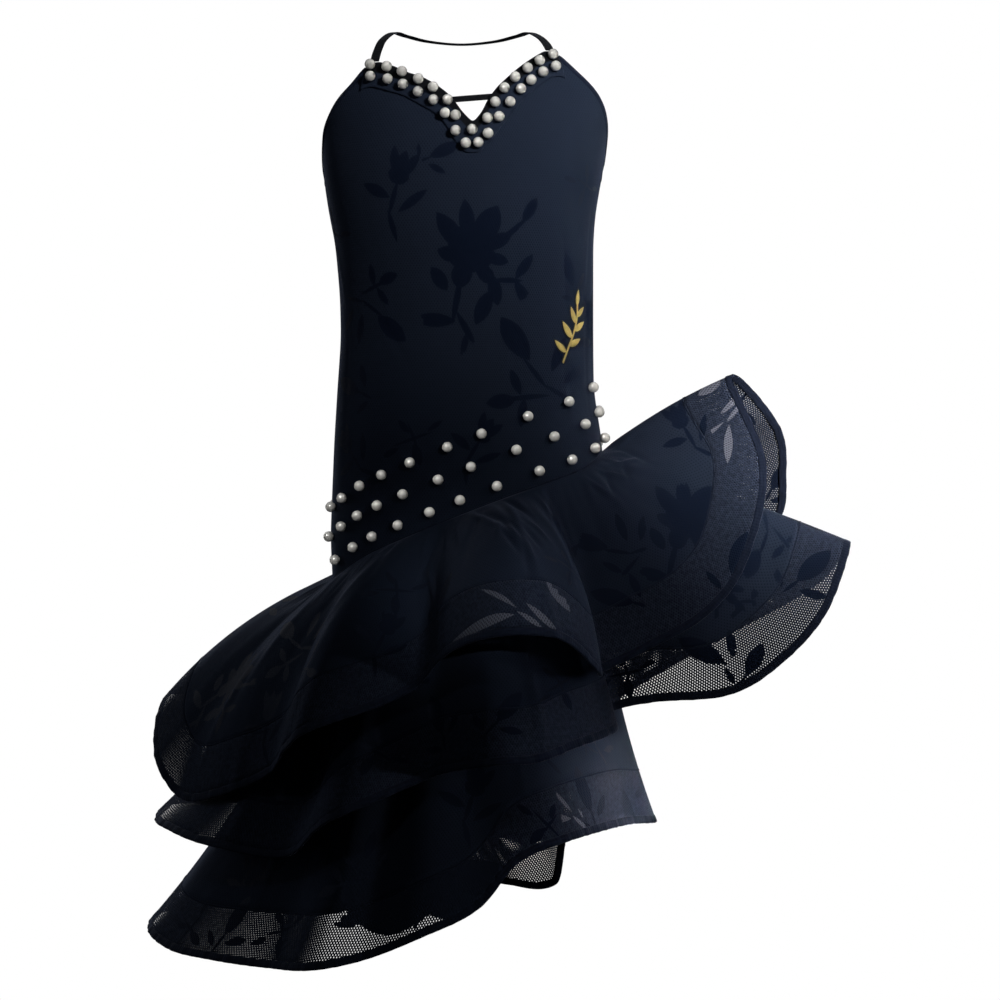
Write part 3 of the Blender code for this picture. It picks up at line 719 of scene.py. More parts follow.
def seam_gathers() -> tuple[Fold, ...]:
    """Make the small gathers round the hip seam, from a seeded row of random numbers.

    Returns:
        The gathers.
    """
    chance = np.random.default_rng(GATHER_SEED)
    count = int(TURN / GATHER_STEP)
    order = np.arange(count)
    shifts = chance.uniform(-GATHER_SHIFT, GATHER_SHIFT, count)
    azimuths = (order + shifts) * GATHER_STEP - TURN / 2
    spans = (GATHER_DOWNS, GATHER_TURNS, GATHER_LENGTHS, GATHER_WIDTHS, GATHER_HEIGHTS)
    *others, heights = (chance.uniform(*span, count) for span in spans)
    return table(Fold, *zip(azimuths, *others, heights * np.where(order % 2, 1.0, -1.0)))


@dataclass
class Tier(Surface):
    """One tier of the skirt, from the hip seam out to its waved hem."""

    name: str
    hem: Sequence[HemRow]
    order: int
    figure: Figure
    folds: Sequence[Fold] = ()

    def ends(self, azimuths: Array) -> tuple[Array, ...]:
        """Find where the cloth starts and ends in the upright plane of each azimuth.

        Args:
            azimuths: the planes (degrees).

        Returns:
            Radius and level at the seam, then reach, level and arch of the hem (mm).
        """
        seam_level = hip_seam(azimuths) - SEAM_GAP - TIER_STEP_DOWN * self.order
        seam_radius = self.figure.radius(azimuths, seam_level) - TIER_STEP_IN * self.order
        hem = (closed_curve(self.hem, name, azimuths) for name in HemRow._fields[1:])
        return (seam_radius, seam_level, *hem)

    def length(self, azimuths: Array) -> Array:
        """Return the straight distance from seam to hem (mm)."""
        seam_radius, seam_level, reach, level, _ = self.ends(azimuths)
        return np.hypot(reach - seam_radius, level - seam_level)

    def bare(self, azimuths: Array, downs: Array) -> Array:
        """Return points of the tier.

        In the upright plane of each azimuth the cloth follows a quadratic Bezier from the seam to
        the hem, whose middle control point lies off the straight line by the arch times its length.

        Args:
            azimuths: one a column (degrees).
            downs: distances down the cloth (mm).

        Returns:
            The points (mm).
        """
        seam_radius, seam_level, reach, level, arch = self.ends(azimuths)
        run, fall = reach - seam_radius, level - seam_level
        t = downs / np.hypot(run, fall)
        middle_radius = (seam_radius + reach) / 2.0 - arch * fall
        middle_level = (seam_level + level) / 2.0 + arch * run
        radii = seam_radius * (1 - t) ** 2 + 2 * middle_radius * t * (1 - t) + reach * t * t
        levels = seam_level * (1 - t) ** 2 + 2 * middle_level * t * (1 - t) + level * t * t
        return place(azimuths, radii, levels)


@dataclass
class Shape:
    """Points (mm), faces, and the UV maps of a mesh with one value to each face corner."""

    points: Array
    faces: list[list[int]]
    maps: dict[str, Array]

    def outward(self) -> Shape:
        """Turn the faces round when they enclose a negative volume, by the divergence theorem.

        Returns:
            The shape with its faces turned outward.
        """
        volume = 0.0
        for size in {len(face) for face in self.faces}:
            corners = self.points[np.array([face for face in self.faces if len(face) == size])]
            for k in range(1, size - 1):
                cross = np.cross(corners[:, k], corners[:, k + 1])
                volume += float(np.einsum("ij,ij->", corners[:, 0], cross))
        if volume >= 0.0:
            return self
        starts = np.cumsum([0] + [len(face) for face in self.faces])
        back = [i for a, b in zip(starts[:-1], starts[1:]) for i in range(b - 1, a - 1, -1)]
        maps = {name: values[back] for name, values in self.maps.items()}
        return Shape(self.points, [face[::-1] for face in self.faces], maps)


def join_shapes(shapes: Sequence[Shape]) -> Shape:
    """Put several shapes into one, each keeping its own points.

    Args:
        shapes: the shapes, which have the same maps.

    Returns:
        The one shape.
    """
    starts = np.cumsum([0] + [len(shape.points) for shape in shapes[:-1]])
    faces = [
        [i + int(start) for i in face]
        for start, shape in zip(starts, shapes) for face in shape.faces
    ]
    maps = {
        name: np.concatenate([shape.maps[name] for shape in shapes]) for name in shapes[0].maps
    }
    return Shape(np.concatenate([shape.points for shape in shapes]), faces, maps)


def grid_quads(
    rows: int, columns: int, wrap_rows: bool, wrap_columns: bool
) -> tuple[Array, Array, Array]:
    """List the four-sided faces of a grid.

    Args:
        rows: number of rows of points.
        columns: number of columns of points.
        wrap_rows: whether the last row joins the first.
        wrap_columns: whether the last column joins the first.

    Returns:
        The faces' point numbers, and each corner's row and column before they wrap.
    """
    r, c = np.meshgrid(
        np.arange(rows if wrap_rows else rows - 1),
        np.arange(columns if wrap_columns else columns - 1),
        indexing="ij",
    )
    r, c = r.ravel(), c.ravel()
    corner_rows = np.stack((r, r + 1, r + 1, r), axis=1)
    corner_columns = np.stack((c, c, c + 1, c + 1), axis=1)
    numbers = (corner_rows % rows) * columns + corner_columns % columns
    return numbers, corner_rows, corner_columns


def fan(ring: Array, middle: int, turned: bool) -> Array:
    """List the triangles between a closed ring of points and its middle.

    Args:
        ring: the ring's point numbers.
        middle: the middle's point number.
        turned: whether the triangles face the other way.

    Returns:
        The triangles' point numbers.
    """
    after = np.roll(ring, -1)
    first, second = (after, ring) if turned else (ring, after)
    return np.stack((first, second, np.full(len(ring), middle)), axis=1)


def side_caps(rows: int, columns: int) -> list[list[int]]:
    """List the faces that close the two sides of an open cloth wall.

    Args:
        rows: rows of points down one side of the cloth.
        columns: columns of points.

    Returns:
        The faces at the first column, then those at the last.
    """
    r = np.arange(rows - 1)
    first = (np.stack((r + 1, r, 2 * rows - r, 2 * rows - r - 1), axis=1) * columns).tolist() + [
        [(rows - 1) * columns, (rows + 1) * columns, rows * columns],
        [2 * rows * columns, 0, (2 * rows + 1) * columns],
    ]
    return first + [[i + columns - 1 for i in face[::-1]] for face in first]


def motif_map(surface: Surface, corners: Array, places: Array, motifs: Sequence[Motif]) -> Array:
    """Give each face the coordinates of the sprig nearest to it.

    Over a sprig the coordinates are the distances from its place along its own right and up
    directions, at 100 mm to the unit times its size, moved along x to its window of the design.
    A face with no sprig within reach gets a place off the design.

    Args:
        surface: the surface that the sprigs lie on.
        corners: the faces' corners (mm).
        places: each face's azimuth and distance down.
        motifs: the sprigs.

    Returns:
        The two coordinates of each corner.
    """
    result = np.full(corners.shape[:2] + (2,), OFF_DESIGN)
    nearest = np.full(len(places), SPRIG_REACH)
    for motif in motifs:
        origin, right, up = surface.directions(motif.azimuth, motif.down)
        turn, size = np.radians(motif.turn), SPRIG_UNIT * motif.size
        axes = np.stack(
            (right * np.cos(turn) + up * np.sin(turn), up * np.cos(turn) - right * np.sin(turn)),
            axis=1,
        ) / size
        spread = degree_length(motif.down if isinstance(surface, Tier) else 0.0)
        beside = np.abs(turn_from(places[:, 0], motif.azimuth)) * spread
        away = np.hypot(beside, places[:, 1] - motif.down) / size
        mine = away < nearest
        result[mine] = (corners[mine] - origin) @ axes + (motif.window.value, 0.0)
        nearest[mine] = away[mine]
    return result


def cloth_wall(
    surface: Surface, azimuths: Array, downs: Array, thickness: float, closed: bool,
    motifs: Sequence[Motif] = (), out: float = 0.0, from_top: bool = False,
) -> Shape:
    """Fold a grid of a surface into a thin closed wall.

    The wall's rows run down its outer side, round a rounded fold at the bottom, up its inner side
    and round a fold at the top.  The inner side is the outer one moved in along the normals.

    Args:
        surface: the surface.
        azimuths: one a column (degrees); a closed wall's last column is its first one again.
        downs: distance down of each point (mm), rows by columns.
        thickness: of the cloth (mm).
        closed: whether the columns run all round.
        motifs: the sprigs that lie on it.
        out: how far the outer side stands out from the surface (mm).
        from_top: whether the "cloth" map measures down from the wall's upper edge.

    Returns:
        The wall, with the maps "cloth" (mm along and down) and "motif".
    """
    columns = len(azimuths) - 1 if closed else len(azimuths)
    rows = len(downs)
    grid = azimuths[:columns], downs[:, :columns]
    outer = surface.points(*grid, out)
    inner = outer - thickness * surface.normals(*grid)
    fold = FOLD_SHARE * thickness
    bottom = (outer[-1] + inner[-1]) / 2 + fold * unit(outer[-1] - outer[-2])
    top = (outer[0] + inner[0]) / 2 + fold * unit(outer[0] - outer[1])
    ring = np.concatenate((outer, bottom[None], inner[::-1], top[None])).reshape(-1, 3)
    ring_downs = np.concatenate((downs, downs[-1:], downs[::-1], downs[:1]))
    along = running_length(ring_lengths(outer[rows // 2]))[: len(azimuths)]

    count = len(ring_downs)
    quads, corner_rows, corner_columns = grid_quads(count, columns, True, closed)
    corner_downs = ring_downs[corner_rows % count, corner_columns]
    zero = downs[0, corner_columns % columns] if from_top else 0.0
    flat = np.stack((along[corner_columns], corner_downs - zero), axis=-1)
    places = np.stack((azimuths[corner_columns].mean(axis=1), corner_downs.mean(axis=1)), axis=-1)
    sprigs = motif_map(surface, ring[quads], places, motifs)
    faces = quads.tolist()
    maps = {"cloth": flat.reshape(-1, 2), "motif": sprigs.reshape(-1, 2)}
    if not closed:
        caps = side_caps(rows, columns)
        faces += caps
        corners = sum(len(face) for face in caps)
        for name, blank in (("cloth", 0.0), ("motif", OFF_DESIGN)):
            maps[name] = np.concatenate((maps[name], np.full((corners, 2), blank)))
    return Shape(ring, faces, maps)


def round_section(
    half_width: float, half_height: float, sides: int, squareness: float = 3.0
) -> Array:
    """Make a closed section: (a |cos t|^(2/n), b |sin t|^(2/n)) with the signs of cos and sin.

    Args:
        half_width: a (mm).
        half_height: b (mm).
        sides: the number of points.
        squareness: n, which is 2 for an ellipse and more for a squarer section.

    Returns:
        The section's points (mm).
    """
    angle = np.arange(sides) * 2 * np.pi / sides
    ways = np.stack((np.cos(angle), np.sin(angle)), axis=-1)
    return (half_width, half_height) * np.sign(ways) * np.abs(ways) ** (2.0 / squareness)


def tape(
    path: Array, across: Array, up: Array, section: Array, closed: bool,
    scale: Array | None = None,
) -> Shape:
    """Carry a closed section along a path.

    Point j of ring k is path[k] + section[j].x * across[k] + section[j].y * up[k], and the
    section may be scaled on each ring.  Open ends are closed with a fan to a middle point.

    Args:
        path: the path's points (mm).
        across: the section's x direction at each, length 1.
        up: the section's y direction at each, length 1.
        section: the section's points (mm).
        closed: whether the path runs all round.
        scale: the section's two scales at each point of the path.

    Returns:
        The tape, with the map "cloth" (mm along and round).
    """
    scale = np.ones((len(path), 2)) if scale is None else scale
    sized = section[None] * scale[:, None, :]
    rings = path[:, None] + sized[..., :1] * across[:, None] + sized[..., 1:] * up[:, None]
    rows, columns = len(path), len(section)
    quads, corner_rows, corner_columns = grid_quads(rows, columns, closed, True)
    along, about = running_length(ring_lengths(path)), running_length(ring_lengths(section))
    flat = np.stack((along[corner_rows], about[corner_columns]), axis=-1).reshape(-1, 2)
    points, faces = rings.reshape(-1, 3), quads.tolist()
    if not closed:
        ends, ring = len(points), np.arange(columns)
        points = np.concatenate((points, path[:1], path[-1:]))
        faces += fan(ring, ends, False).tolist()
        faces += fan((rows - 1) * columns + ring, ends + 1, True).tolist()
        flat = np.concatenate((flat, np.zeros((6 * columns, 2))))
    return Shape(points, faces, {"cloth": flat}).outward()


def beads(centres: Array, normals: Array, radius: float, rings: int = 10, sides: int = 18) -> Shape:
    """Make round beads, each standing on the cloth's normal.

    A bead's points are centre + radius * (sin p cos q * right + sin p sin q * up + cos p * normal)
    for p from pole to pole and q round it.

    Args:
        centres: the beads' middles (mm).
        normals: the cloth's normal at each, length 1.
        radius: of a bead (mm).
        rings: spans from pole to pole.
        sides: spans round it.

    Returns:
        The beads, with the map "cloth".
    """
    helper = np.where(np.abs(normals[:, 2:]) < NEARLY_UP, (0.0, 0.0, 1.0), (1.0, 0.0, 0.0))
    right = unit(np.cross(helper, normals))
    p = np.pi * np.arange(1, rings) / rings
    q = 2 * np.pi * np.arange(sides) / sides
    around = np.stack((np.cos(q), np.sin(q), np.ones(sides)), axis=-1)
    ball = np.stack((np.sin(p), np.sin(p), np.cos(p)), axis=-1)[:, None] * around
    ball = radius * np.concatenate((ball.reshape(-1, 3), ((0.0, 0.0, 1.0), (0.0, 0.0, -1.0))))
    axes = np.stack((right, np.cross(normals, right), normals), axis=1)
    points = centres[:, None] + np.einsum("pi,nij->npj", ball, axes)
    quads, _, _ = grid_quads(rings - 1, sides, False, True)
    ring, pole, last = np.arange(sides), (rings - 1) * sides, (rings - 2) * sides
    caps = np.concatenate((fan(ring, pole, False), fan(last + ring, pole + 1, True)))
    starts = np.arange(len(centres))[:, None, None] * len(ball)
    faces = [
        face for kind in (quads, caps)
        for face in (kind[None] + starts).reshape(-1, kind.shape[1]).tolist()
    ]
    corners = sum(len(face) for face in faces)
    return Shape(points.reshape(-1, 3), faces, {"cloth": np.zeros((corners, 2))}).outward()


@dataclass
class Number:
    """A number in a node tree, on which Python's operators add Math nodes."""

    tree: NodeTree
    socket: Any

    def math(self, operation: str, *others: Any, first: bool = True) -> Number:
        """Add a Math node whose values are this number and the others.

        Args:
            operation: the node's operation.
            others: the other numbers.
            first: whether this number comes before them.

        Returns:
            The node's result.
        """
        values = (self, *others) if first else (*others, self)
        node = self.tree.add("ShaderNodeMath", {"operation": operation}, dict(enumerate(values)))
        return Number(self.tree, node.outputs[0])

    def __add__(self, other: Any) -> Number:
        """Add."""
        return self.math("ADD", other)

    def __sub__(self, other: Any) -> Number:
        """Subtract."""
        return self.math("SUBTRACT", other)

    def __rsub__(self, other: Any) -> Number:
        """Subtract this number from another."""
        return self.math("SUBTRACT", other, first=False)

    def __mul__(self, other: Any) -> Number:
        """Multiply."""
        return self.math("MULTIPLY", other)

    def __abs__(self) -> Number:
        """Take the size without the sign."""
        return self.math("ABSOLUTE")

    def wave(self, period: float) -> Number:
        """Return a sine with the given period."""
        return (self * (2.0 * np.pi / period)).math("SINE")

    def ripple(self, period: float) -> Number:
        """Return a sine with the given period, brought to 0..1."""
        return self.wave(period) * 0.5 + 0.5

    def about(self, middle: float, sway: float) -> Number:
        """Return what sways about a middle value as this number goes from 0 to 1."""
        return self * sway + (middle - sway / 2)

    def ramp(self, low: float, high: float) -> Number:
        """Rise in a straight line from 0 at the low value to 1 at the high one, and hold there."""
        node = self.tree.add("ShaderNodeMapRange", {"clamp": True}, {0: self, 1: low, 2: high})
        return Number(self.tree, node.outputs[0])


class NodeTree:
    """A new material and the one way that nodes are added to it."""

    def __init__(self, name: str) -> None:
        """Make the material with its Principled shader.

        Args:
            name: the material's name.
        """
        self.material = bpy.data.materials.new(name)
        self.material.use_nodes = True
        self.tree = self.material.node_tree
        self.shader = self.tree.nodes["Principled BSDF"]

    def add(self, kind: str, settings: dict[str, Any], inputs: dict[Any, Any]) -> Any:
        """Add a node.

        Args:
            kind: the node's type.
            settings: its settings, set first.
            inputs: a value, a socket or a Number for each input, by name or number.

        Returns:
            The node.
        """
        node = self.tree.nodes.new(kind)
        for name, value in settings.items():
            setattr(node, name, value)
        for key, value in inputs.items():
            self.feed(node.inputs[key], value)
        return node

    def feed(self, socket: Any, value: Any) -> None:
        """Link a Number or a socket to an input, or set the input to a plain value.

        Args:
            socket: the input.
            value: the Number, the socket or the plain value.
        """
        source = value.socket if isinstance(value, Number) else value
        if isinstance(source, bpy.types.NodeSocket):
            self.tree.links.new(source, socket)
        else:
            socket.default_value = source

    def dress(self, **inputs: Any) -> Finish:
        """Set the Principled shader's inputs.

        Args:
            inputs: the inputs, named with _ for each space.

        Returns:
            The material.
        """
        for name, value in inputs.items():
            self.feed(self.shader.inputs[name.replace("_", " ")], value)
        return self.material

    def blend(
        self, share: Number, first: dict[str, Any], second: dict[str, Any]
    ) -> Finish:
        """Mix the Principled shader with a second one.

        Args:
            share: the second's share.
            first: the inputs of the first, named with _ for each space.
            second: the inputs of the second.

        Returns:
            The material.
        """
        named = {name.replace("_", " "): value for name, value in second.items()}
        other = self.add("ShaderNodeBsdfPrincipled", {}, named)
        shaders = {0: share, 1: self.shader.outputs[0], 2: other.outputs[0]}
        mixed = self.add("ShaderNodeMixShader", {}, shaders)
        self.tree.links.new(mixed.outputs[0], self.tree.nodes["Material Output"].inputs[0])
        return self.dress(**first)

    def uv(self, name: str) -> Any:
        """Return the vector of a UV map."""
        return self.add("ShaderNodeUVMap", {"uv_map": name}, {}).outputs[0]

    def place(self) -> Any:
        """Return the object coordinates (m)."""
        return self.add("ShaderNodeTexCoord", {}, {}).outputs["Object"]

    def parts(self, vector: Any) -> tuple[Number, Number]:
        """Return the x and y of a vector."""
        node = self.add("ShaderNodeSeparateXYZ", {}, {0: vector})
        return Number(self, node.outputs[0]), Number(self, node.outputs[1])

    def noise(self, vector: Any, scale: float, detail: float = 2.0) -> Number:
        """Return noise of about 0..1, at a number of spots to the vector's unit."""
        inputs = {"Vector": vector, "Scale": scale, "Detail": detail}
        return Number(self, self.add("ShaderNodeTexNoise", {}, inputs).outputs[0])

    def grain(self, scale: Spot, density: float = 1.0, detail: float = 2.0) -> Number:
        """Return noise by the "cloth" map, whose parts are scaled first so that it is drawn out."""
        return self.noise(self.vector("MULTIPLY", self.uv("cloth"), scale)[0], density, detail)

    def vector(self, operation: str, *values: Any) -> Any:
        """Add a Vector Math node and return its outputs."""
        inputs = dict(enumerate(values))
        return self.add("ShaderNodeVectorMath", {"operation": operation}, inputs).outputs

    def mix(self, share: Any, first: Any, second: Any) -> Any:
        """Mix two colours.

        Args:
            share: the second's share.
            first: a colour or a socket.
            second: a colour or a socket.

        Returns:
            The mix.
        """
        colours = [(*c, 1.0) if isinstance(c, tuple) else c for c in (first, second)]
        inputs = {0: share, 6: colours[0], 7: colours[1]}
        return self.add("ShaderNodeMix", {"data_type": "RGBA"}, inputs).outputs[2]

    def shade(self, share: Any, colour: Colour, low: float, high: float = 1.0) -> Any:
        """Return a colour, times the low value where the share is 0 and the high where it is 1."""
        dark, bright = (tuple(strength * c for c in colour) for strength in (low, high))
        return self.mix(share, dark, bright)

    def bump(self, height: Number, depth: float, below: Any = None) -> Any:
        """Turn a height into a normal.

        Args:
            height: the height, 0..1.
            depth: the depth of a height of 1 (mm).
            below: another bump's normal, which this one lies over.

        Returns:
            The normal.
        """
        inputs = {"Height": height, "Distance": depth * MM, "Strength": 1.0}
        if below is not None:
            inputs["Normal"] = below
        return self.add("ShaderNodeBump", {}, inputs).outputs[0]

    def weave(self, along: Number, down: Number) -> Number:
        return (along.wave(WEAVE_PITCH) * down.wave(WEAVE_PITCH)) * 0.5 + 0.5

    def strands(self, pitch: float, open_share: float) -> tuple[Number, Number]:
        """Return an open net's strands, and their relief, by the "cloth" map.

        Two sets of strands cross at about 60 degrees: each is closed where the size of a sine
        across it is below the sine of half the closed share of a turn.

        Args:
            pitch: the spacing of the strands (mm).
            open_share: the open share of each set.

        Returns:
            The strands, 1 on a strand and 0 in a gap, and their height, 1 at a strand's middle.
        """
        along, down = self.parts(self.uv("cloth"))
        limit = float(np.sin(0.5 * np.pi * (1.0 - open_share)))
        slopes = (STRAND_SLOPE, -STRAND_SLOPE)
        sets = [abs((along + down * slope).wave(2 * pitch)) for slope in slopes]
        gaps = [one.ramp(limit - STRAND_SOFT, limit + STRAND_SOFT) for one in sets]
        return 1.0 - gaps[0] * gaps[1], 1.0 - sets[0].math("MINIMUM", sets[1])

    def beyond(self, vector: Any, blade: Blade) -> Number:
        """Return how far a place is beyond a blade's edge.

        A blade is the lens between two equal circles through its tips.  With w = width / length,
        the circles' radius is (1 + w^2) / 2w of the half length and their middles lie
        (1 - w^2) / 2w to each side, so a place is on the blade where the further of the two
        middles is nearer than the radius.

        Args:
            vector: the place in the design.
            blade: the blade.

        Returns:
            The distance to the further middle less the radius.
        """
        ratio, half, turn = blade.width / blade.length, blade.length / 2, np.radians(blade.turn)
        radius, aside = half * (1 + ratio**2) / (2 * ratio), half * (1 - ratio**2) / (2 * ratio)
        step = (-aside * float(np.sin(turn)), aside * float(np.cos(turn)))
        first, second = (
            Number(self, self.vector(
                "DISTANCE", vector, (blade.x + sign * step[0], blade.y + sign * step[1], 0.0)
            )["Value"])
            for sign in (1, -1)
        )
        return first.math("MAXIMUM", second) - radius

    def sprigs(self, blades: Sequence[Blade]) -> Number:
        """Return the cover of the sprigs of the "motif" map: 1 on a blade and 0 off it.

        The blades join by the least of the distances beyond them, over a slightly ragged map.
        Now and then the map waits for the blades so far, so that few values are held at once.

        Args:
            blades: the blades of the design.

        Returns:
            The cover.
        """
        grain = self.grain((1.0, 1.0, 0.0), RAGGED_SCALE, 1.0)
        shift = (grain - 0.5) * RAGGED
        ragged = self.add("ShaderNodeCombineXYZ", {}, {0: shift, 1: shift})
        vector = self.vector("ADD", self.uv("motif"), ragged.outputs[0])[0]
        nearest = None
        for number, blade in enumerate(blades):
            if number % TIED_BLADES == TIED_BLADES - 1:
                vector = self.vector("MULTIPLY_ADD", nearest, TIE, vector)[0]
            beyond = self.beyond(vector, blade)
            nearest = beyond if nearest is None else nearest.math("MINIMUM", beyond)
        return 1.0 - nearest.ramp(-BLADE_SOFT, BLADE_SOFT)


@dataclass(frozen=True)
class BurnoutCloth:
    """Sheer matt net ground with a lustre at low angles, under smooth dark sprigs.

    Mottle is how much slow drifts and slubs vary the ground's tone at random, and how much the
    net's gaps darken it as painted shade of the layer behind; relief is the height (mm) of its
    crumples, strands and weave.
    """

    name: str = "burnout_cloth"
    ground: Colour = (0.0130, 0.0190, 0.0345)
    sprig: Colour = (0.0045, 0.0078, 0.0186)
    ground_shades: Pair = (0.64, 1.36)
    sprig_shades: Pair = (0.7, 1.3)
    ground_roughness: float = 0.60
    sprig_roughness: float = 0.46
    ground_gloss: float = 0.02
    sprig_gloss: float = 0.10
    sheen: float = 0.10
    pitch: float = 2.7
    open_share: float = 0.39
    strand_mean: float = 0.9
    slub_scale: Spot = (0.05, 0.9, 0.0)
    mottle: Spot = (0.40, 0.26, 0.50)
    relief: Spot = (0.9, 0.09, 0.03)
    blades: Sequence[Blade] = CLOTH_BLADES

    def build(self) -> Finish:
        """Make the material: sprigs, net and weave by the cloth's maps, slow shading by place.

        Returns:
            The material.
        """
        tree = NodeTree(self.name)
        cover = tree.sprigs(self.blades)
        strands, relief = tree.strands(self.pitch, self.open_share)
        weave = tree.weave(*tree.parts(tree.uv("cloth")))
        slub = tree.grain(self.slub_scale)
        drift = tree.noise(tree.place(), *DRIFT)
        by_drift, by_slub, by_strand = self.mottle
        # Painted shade: the ground darkens in the gaps between strands, standing for the shaded
        # layer behind the sheer net; drift and slub are random tone.
        shade = (
            (drift - 0.5) * by_drift + (slub - 0.5) * by_slub
            + (strands - self.strand_mean) * by_strand + 0.5
        )
        ground = tree.shade(shade.ramp(0.0, 1.0), self.ground, *self.ground_shades)
        crumple = tree.noise(tree.place(), *CRUMPLE)
        by_crumple, by_relief, by_weave = self.relief
        height = crumple * by_crumple + relief * by_relief + weave * by_weave
        fine = {**SHEEN, "Specular_Tint": GLOSS_BLUE, "Normal": tree.bump(height, 1.0)}
        return tree.blend(
            cover,
            {**fine, "Base_Color": ground,
             "Roughness": slub.about(self.ground_roughness, 0.06),
             "Specular_IOR_Level": self.ground_gloss, "Sheen_Weight": self.sheen},
            {**fine, "Base_Color": tree.shade(drift, self.sprig, *self.sprig_shades),
             "Roughness": weave.about(self.sprig_roughness, 0.08),
             "Specular_IOR_Level": self.sprig_gloss, "Sheen_Weight": 0.0},
        )


@dataclass(frozen=True)
class HorsehairNet:
    """Stiff open net of crossed strands, closed where the cloth's design lies on it."""

    name: str = "horsehair_net"
    strand: Colour = (0.0180, 0.0245, 0.0430)
    leaf: Colour = (0.0050, 0.0084, 0.0190)
    patch: Colour = (0.0120, 0.0175, 0.0320)
    # pale: painted light, the colour of a lit backing seen through the net
    pale: Colour = (0.120, 0.136, 0.185)
    strand_shades: Pair = (0.75, 1.25)
    pale_shade: float = 0.25
    pitch: float = 2.7
    open_share: float = 0.42
    roughness: float = 0.53
    gloss: float = 0.03
    sheen: float = 0.06
    depth: float = 0.24
    blades: Sequence[Blade] = TULIP_BLADES + SPRIG_BLADES + LEAF_BLADES

    def build(self) -> Finish:
        """Make the material: pale leaves are painted light through the net, patches are closed
        ground cloth.

        Returns:
            The material.
        """
        tree = NodeTree(self.name)
        cover, light, patch = (
            tree.sprigs(blades) for blades in (self.blades, PALE_BLADES, PATCH_BLADES)
        )
        strands, relief = tree.strands(self.pitch, self.open_share)
        fray = tree.noise(tree.uv("cloth"), 0.25)
        strand = tree.shade(fray.ramp(0.35, 0.65), self.strand, *self.strand_shades)
        # Painted light: pale leaves stand for a lit backing seen through the net, bright on the
        # strands and darker in the gaps.
        pale = tree.shade(relief, self.pale, self.pale_shade)
        colour = tree.mix(cover, tree.mix(patch, strand, self.patch), self.leaf)
        closed = cover.math("MAXIMUM", light).math("MAXIMUM", patch)
        return tree.dress(
            Base_Color=tree.mix(light, colour, pale),
            Alpha=strands.math("MAXIMUM", closed),
            Roughness=cover.about(self.roughness, -0.06),
            Normal=tree.bump(relief, self.depth),
            Specular_IOR_Level=self.gloss, Specular_Tint=GLOSS_BLUE,
            Sheen_Weight=self.sheen, **SHEEN,
        )


@dataclass(frozen=True)
class Satin:
    """Folded satin strip with a row of stitches along it."""

    name: str
    colour: Colour = (0.0088, 0.0125, 0.0245)
    shades: Pair = (0.65, 1.3)
    roughness: float = 0.56
    stitch: float = 3.2
    thread: float = 0.7
    uneven_scale: Spot = (0.09, 0.5, 0.0)
    sheen: float = 0.08
    sheen_roughness: float = 0.4
    gloss: float = 0.05

    def build(self) -> Finish:
        """Make the material: satin threads and stitch puckers by the strip's own map.

        Returns:
            The material.
        """
        tree = NodeTree(self.name)
        along, about = tree.parts(tree.uv("cloth"))
        pucker = along.ripple(self.stitch)
        threads = about.ripple(self.thread)
        uneven = tree.grain(self.uneven_scale)
        share = uneven.ramp(0.25, 0.75)
        base = tree.bump(uneven, 0.5)
        puckered = tree.bump(pucker, 0.10, base)
        return tree.dress(
            Base_Color=tree.shade(share, self.colour, *self.shades),
            Roughness=share.about(self.roughness, 0.16),
            Normal=tree.bump(threads, 0.02, puckered),
            Specular_IOR_Level=self.gloss, Specular_Tint=GLOSS_BLUE, Sheen_Weight=self.sheen,
            Sheen_Roughness=self.sheen_roughness, Sheen_Tint=SHEEN_BLUE,
        )


@dataclass(frozen=True)
class NeckTrim:
    """The neck band: a charcoal strip along its upper edge, and the bodice's ground below it."""

    name: str = "neck_trim"
    strip: Colour = (0.0062, 0.0070, 0.0088)
    ground: Colour = (0.0128, 0.0187, 0.0340)
    shades: Pair = (0.72, 1.28)
    strip_width: float = 10.0
    join: float = 0.6
    roughness: float = 0.61
    gloss: float = 0.02
    sheen: float = 0.08

    def build(self) -> Finish:
        """Make the material, by the distance below the upper edge on the band's own map.

        Returns:
            The material.
        """
        tree = NodeTree(self.name)
        along, below = tree.parts(tree.uv("cloth"))
        weave = tree.weave(along, below)
        drift = tree.noise(tree.place(), *DRIFT)
        crumple = tree.noise(tree.place(), *CRUMPLE)
        ground = tree.shade(drift, self.ground, *self.shades)
        under_strip = below.ramp(self.strip_width - self.join, self.strip_width + self.join)
        return tree.dress(
            Base_Color=tree.mix(under_strip, self.strip, ground),
            Roughness=weave.about(self.roughness, 0.06),
            Normal=tree.bump(crumple * 0.9 + weave * 0.05, 1.0),
            Specular_IOR_Level=self.gloss, Sheen_Weight=self.sheen, **SHEEN,
        )


@dataclass(frozen=True)
class PearlGloss:
    """Silver-white bead with a faintly uneven coat."""

    name: str = "pearl_gloss"
    colour: Colour = (0.80, 0.81, 0.79)
    shade: float = 0.80
    metallic: float = 0.42
    roughness: float = 0.20
    depth: float = 0.22
    coat: float = 0.4
    coat_roughness: float = 0.12

    def build(self) -> Finish:
        """Make the material.

        Returns:
            The material.
        """
        tree = NodeTree(self.name)
        mottle = tree.noise(tree.place(), 620.0)
        cloud = tree.noise(tree.place(), 240.0, 1.0)
        return tree.dress(
            Base_Color=tree.shade(cloud.ramp(0.3, 0.7), self.colour, self.shade),
            Metallic=self.metallic,
            Roughness=mottle.about(self.roughness, 0.14),
            Normal=tree.bump(mottle, self.depth),
            Coat_Weight=self.coat, Coat_Roughness=self.coat_roughness,
        )


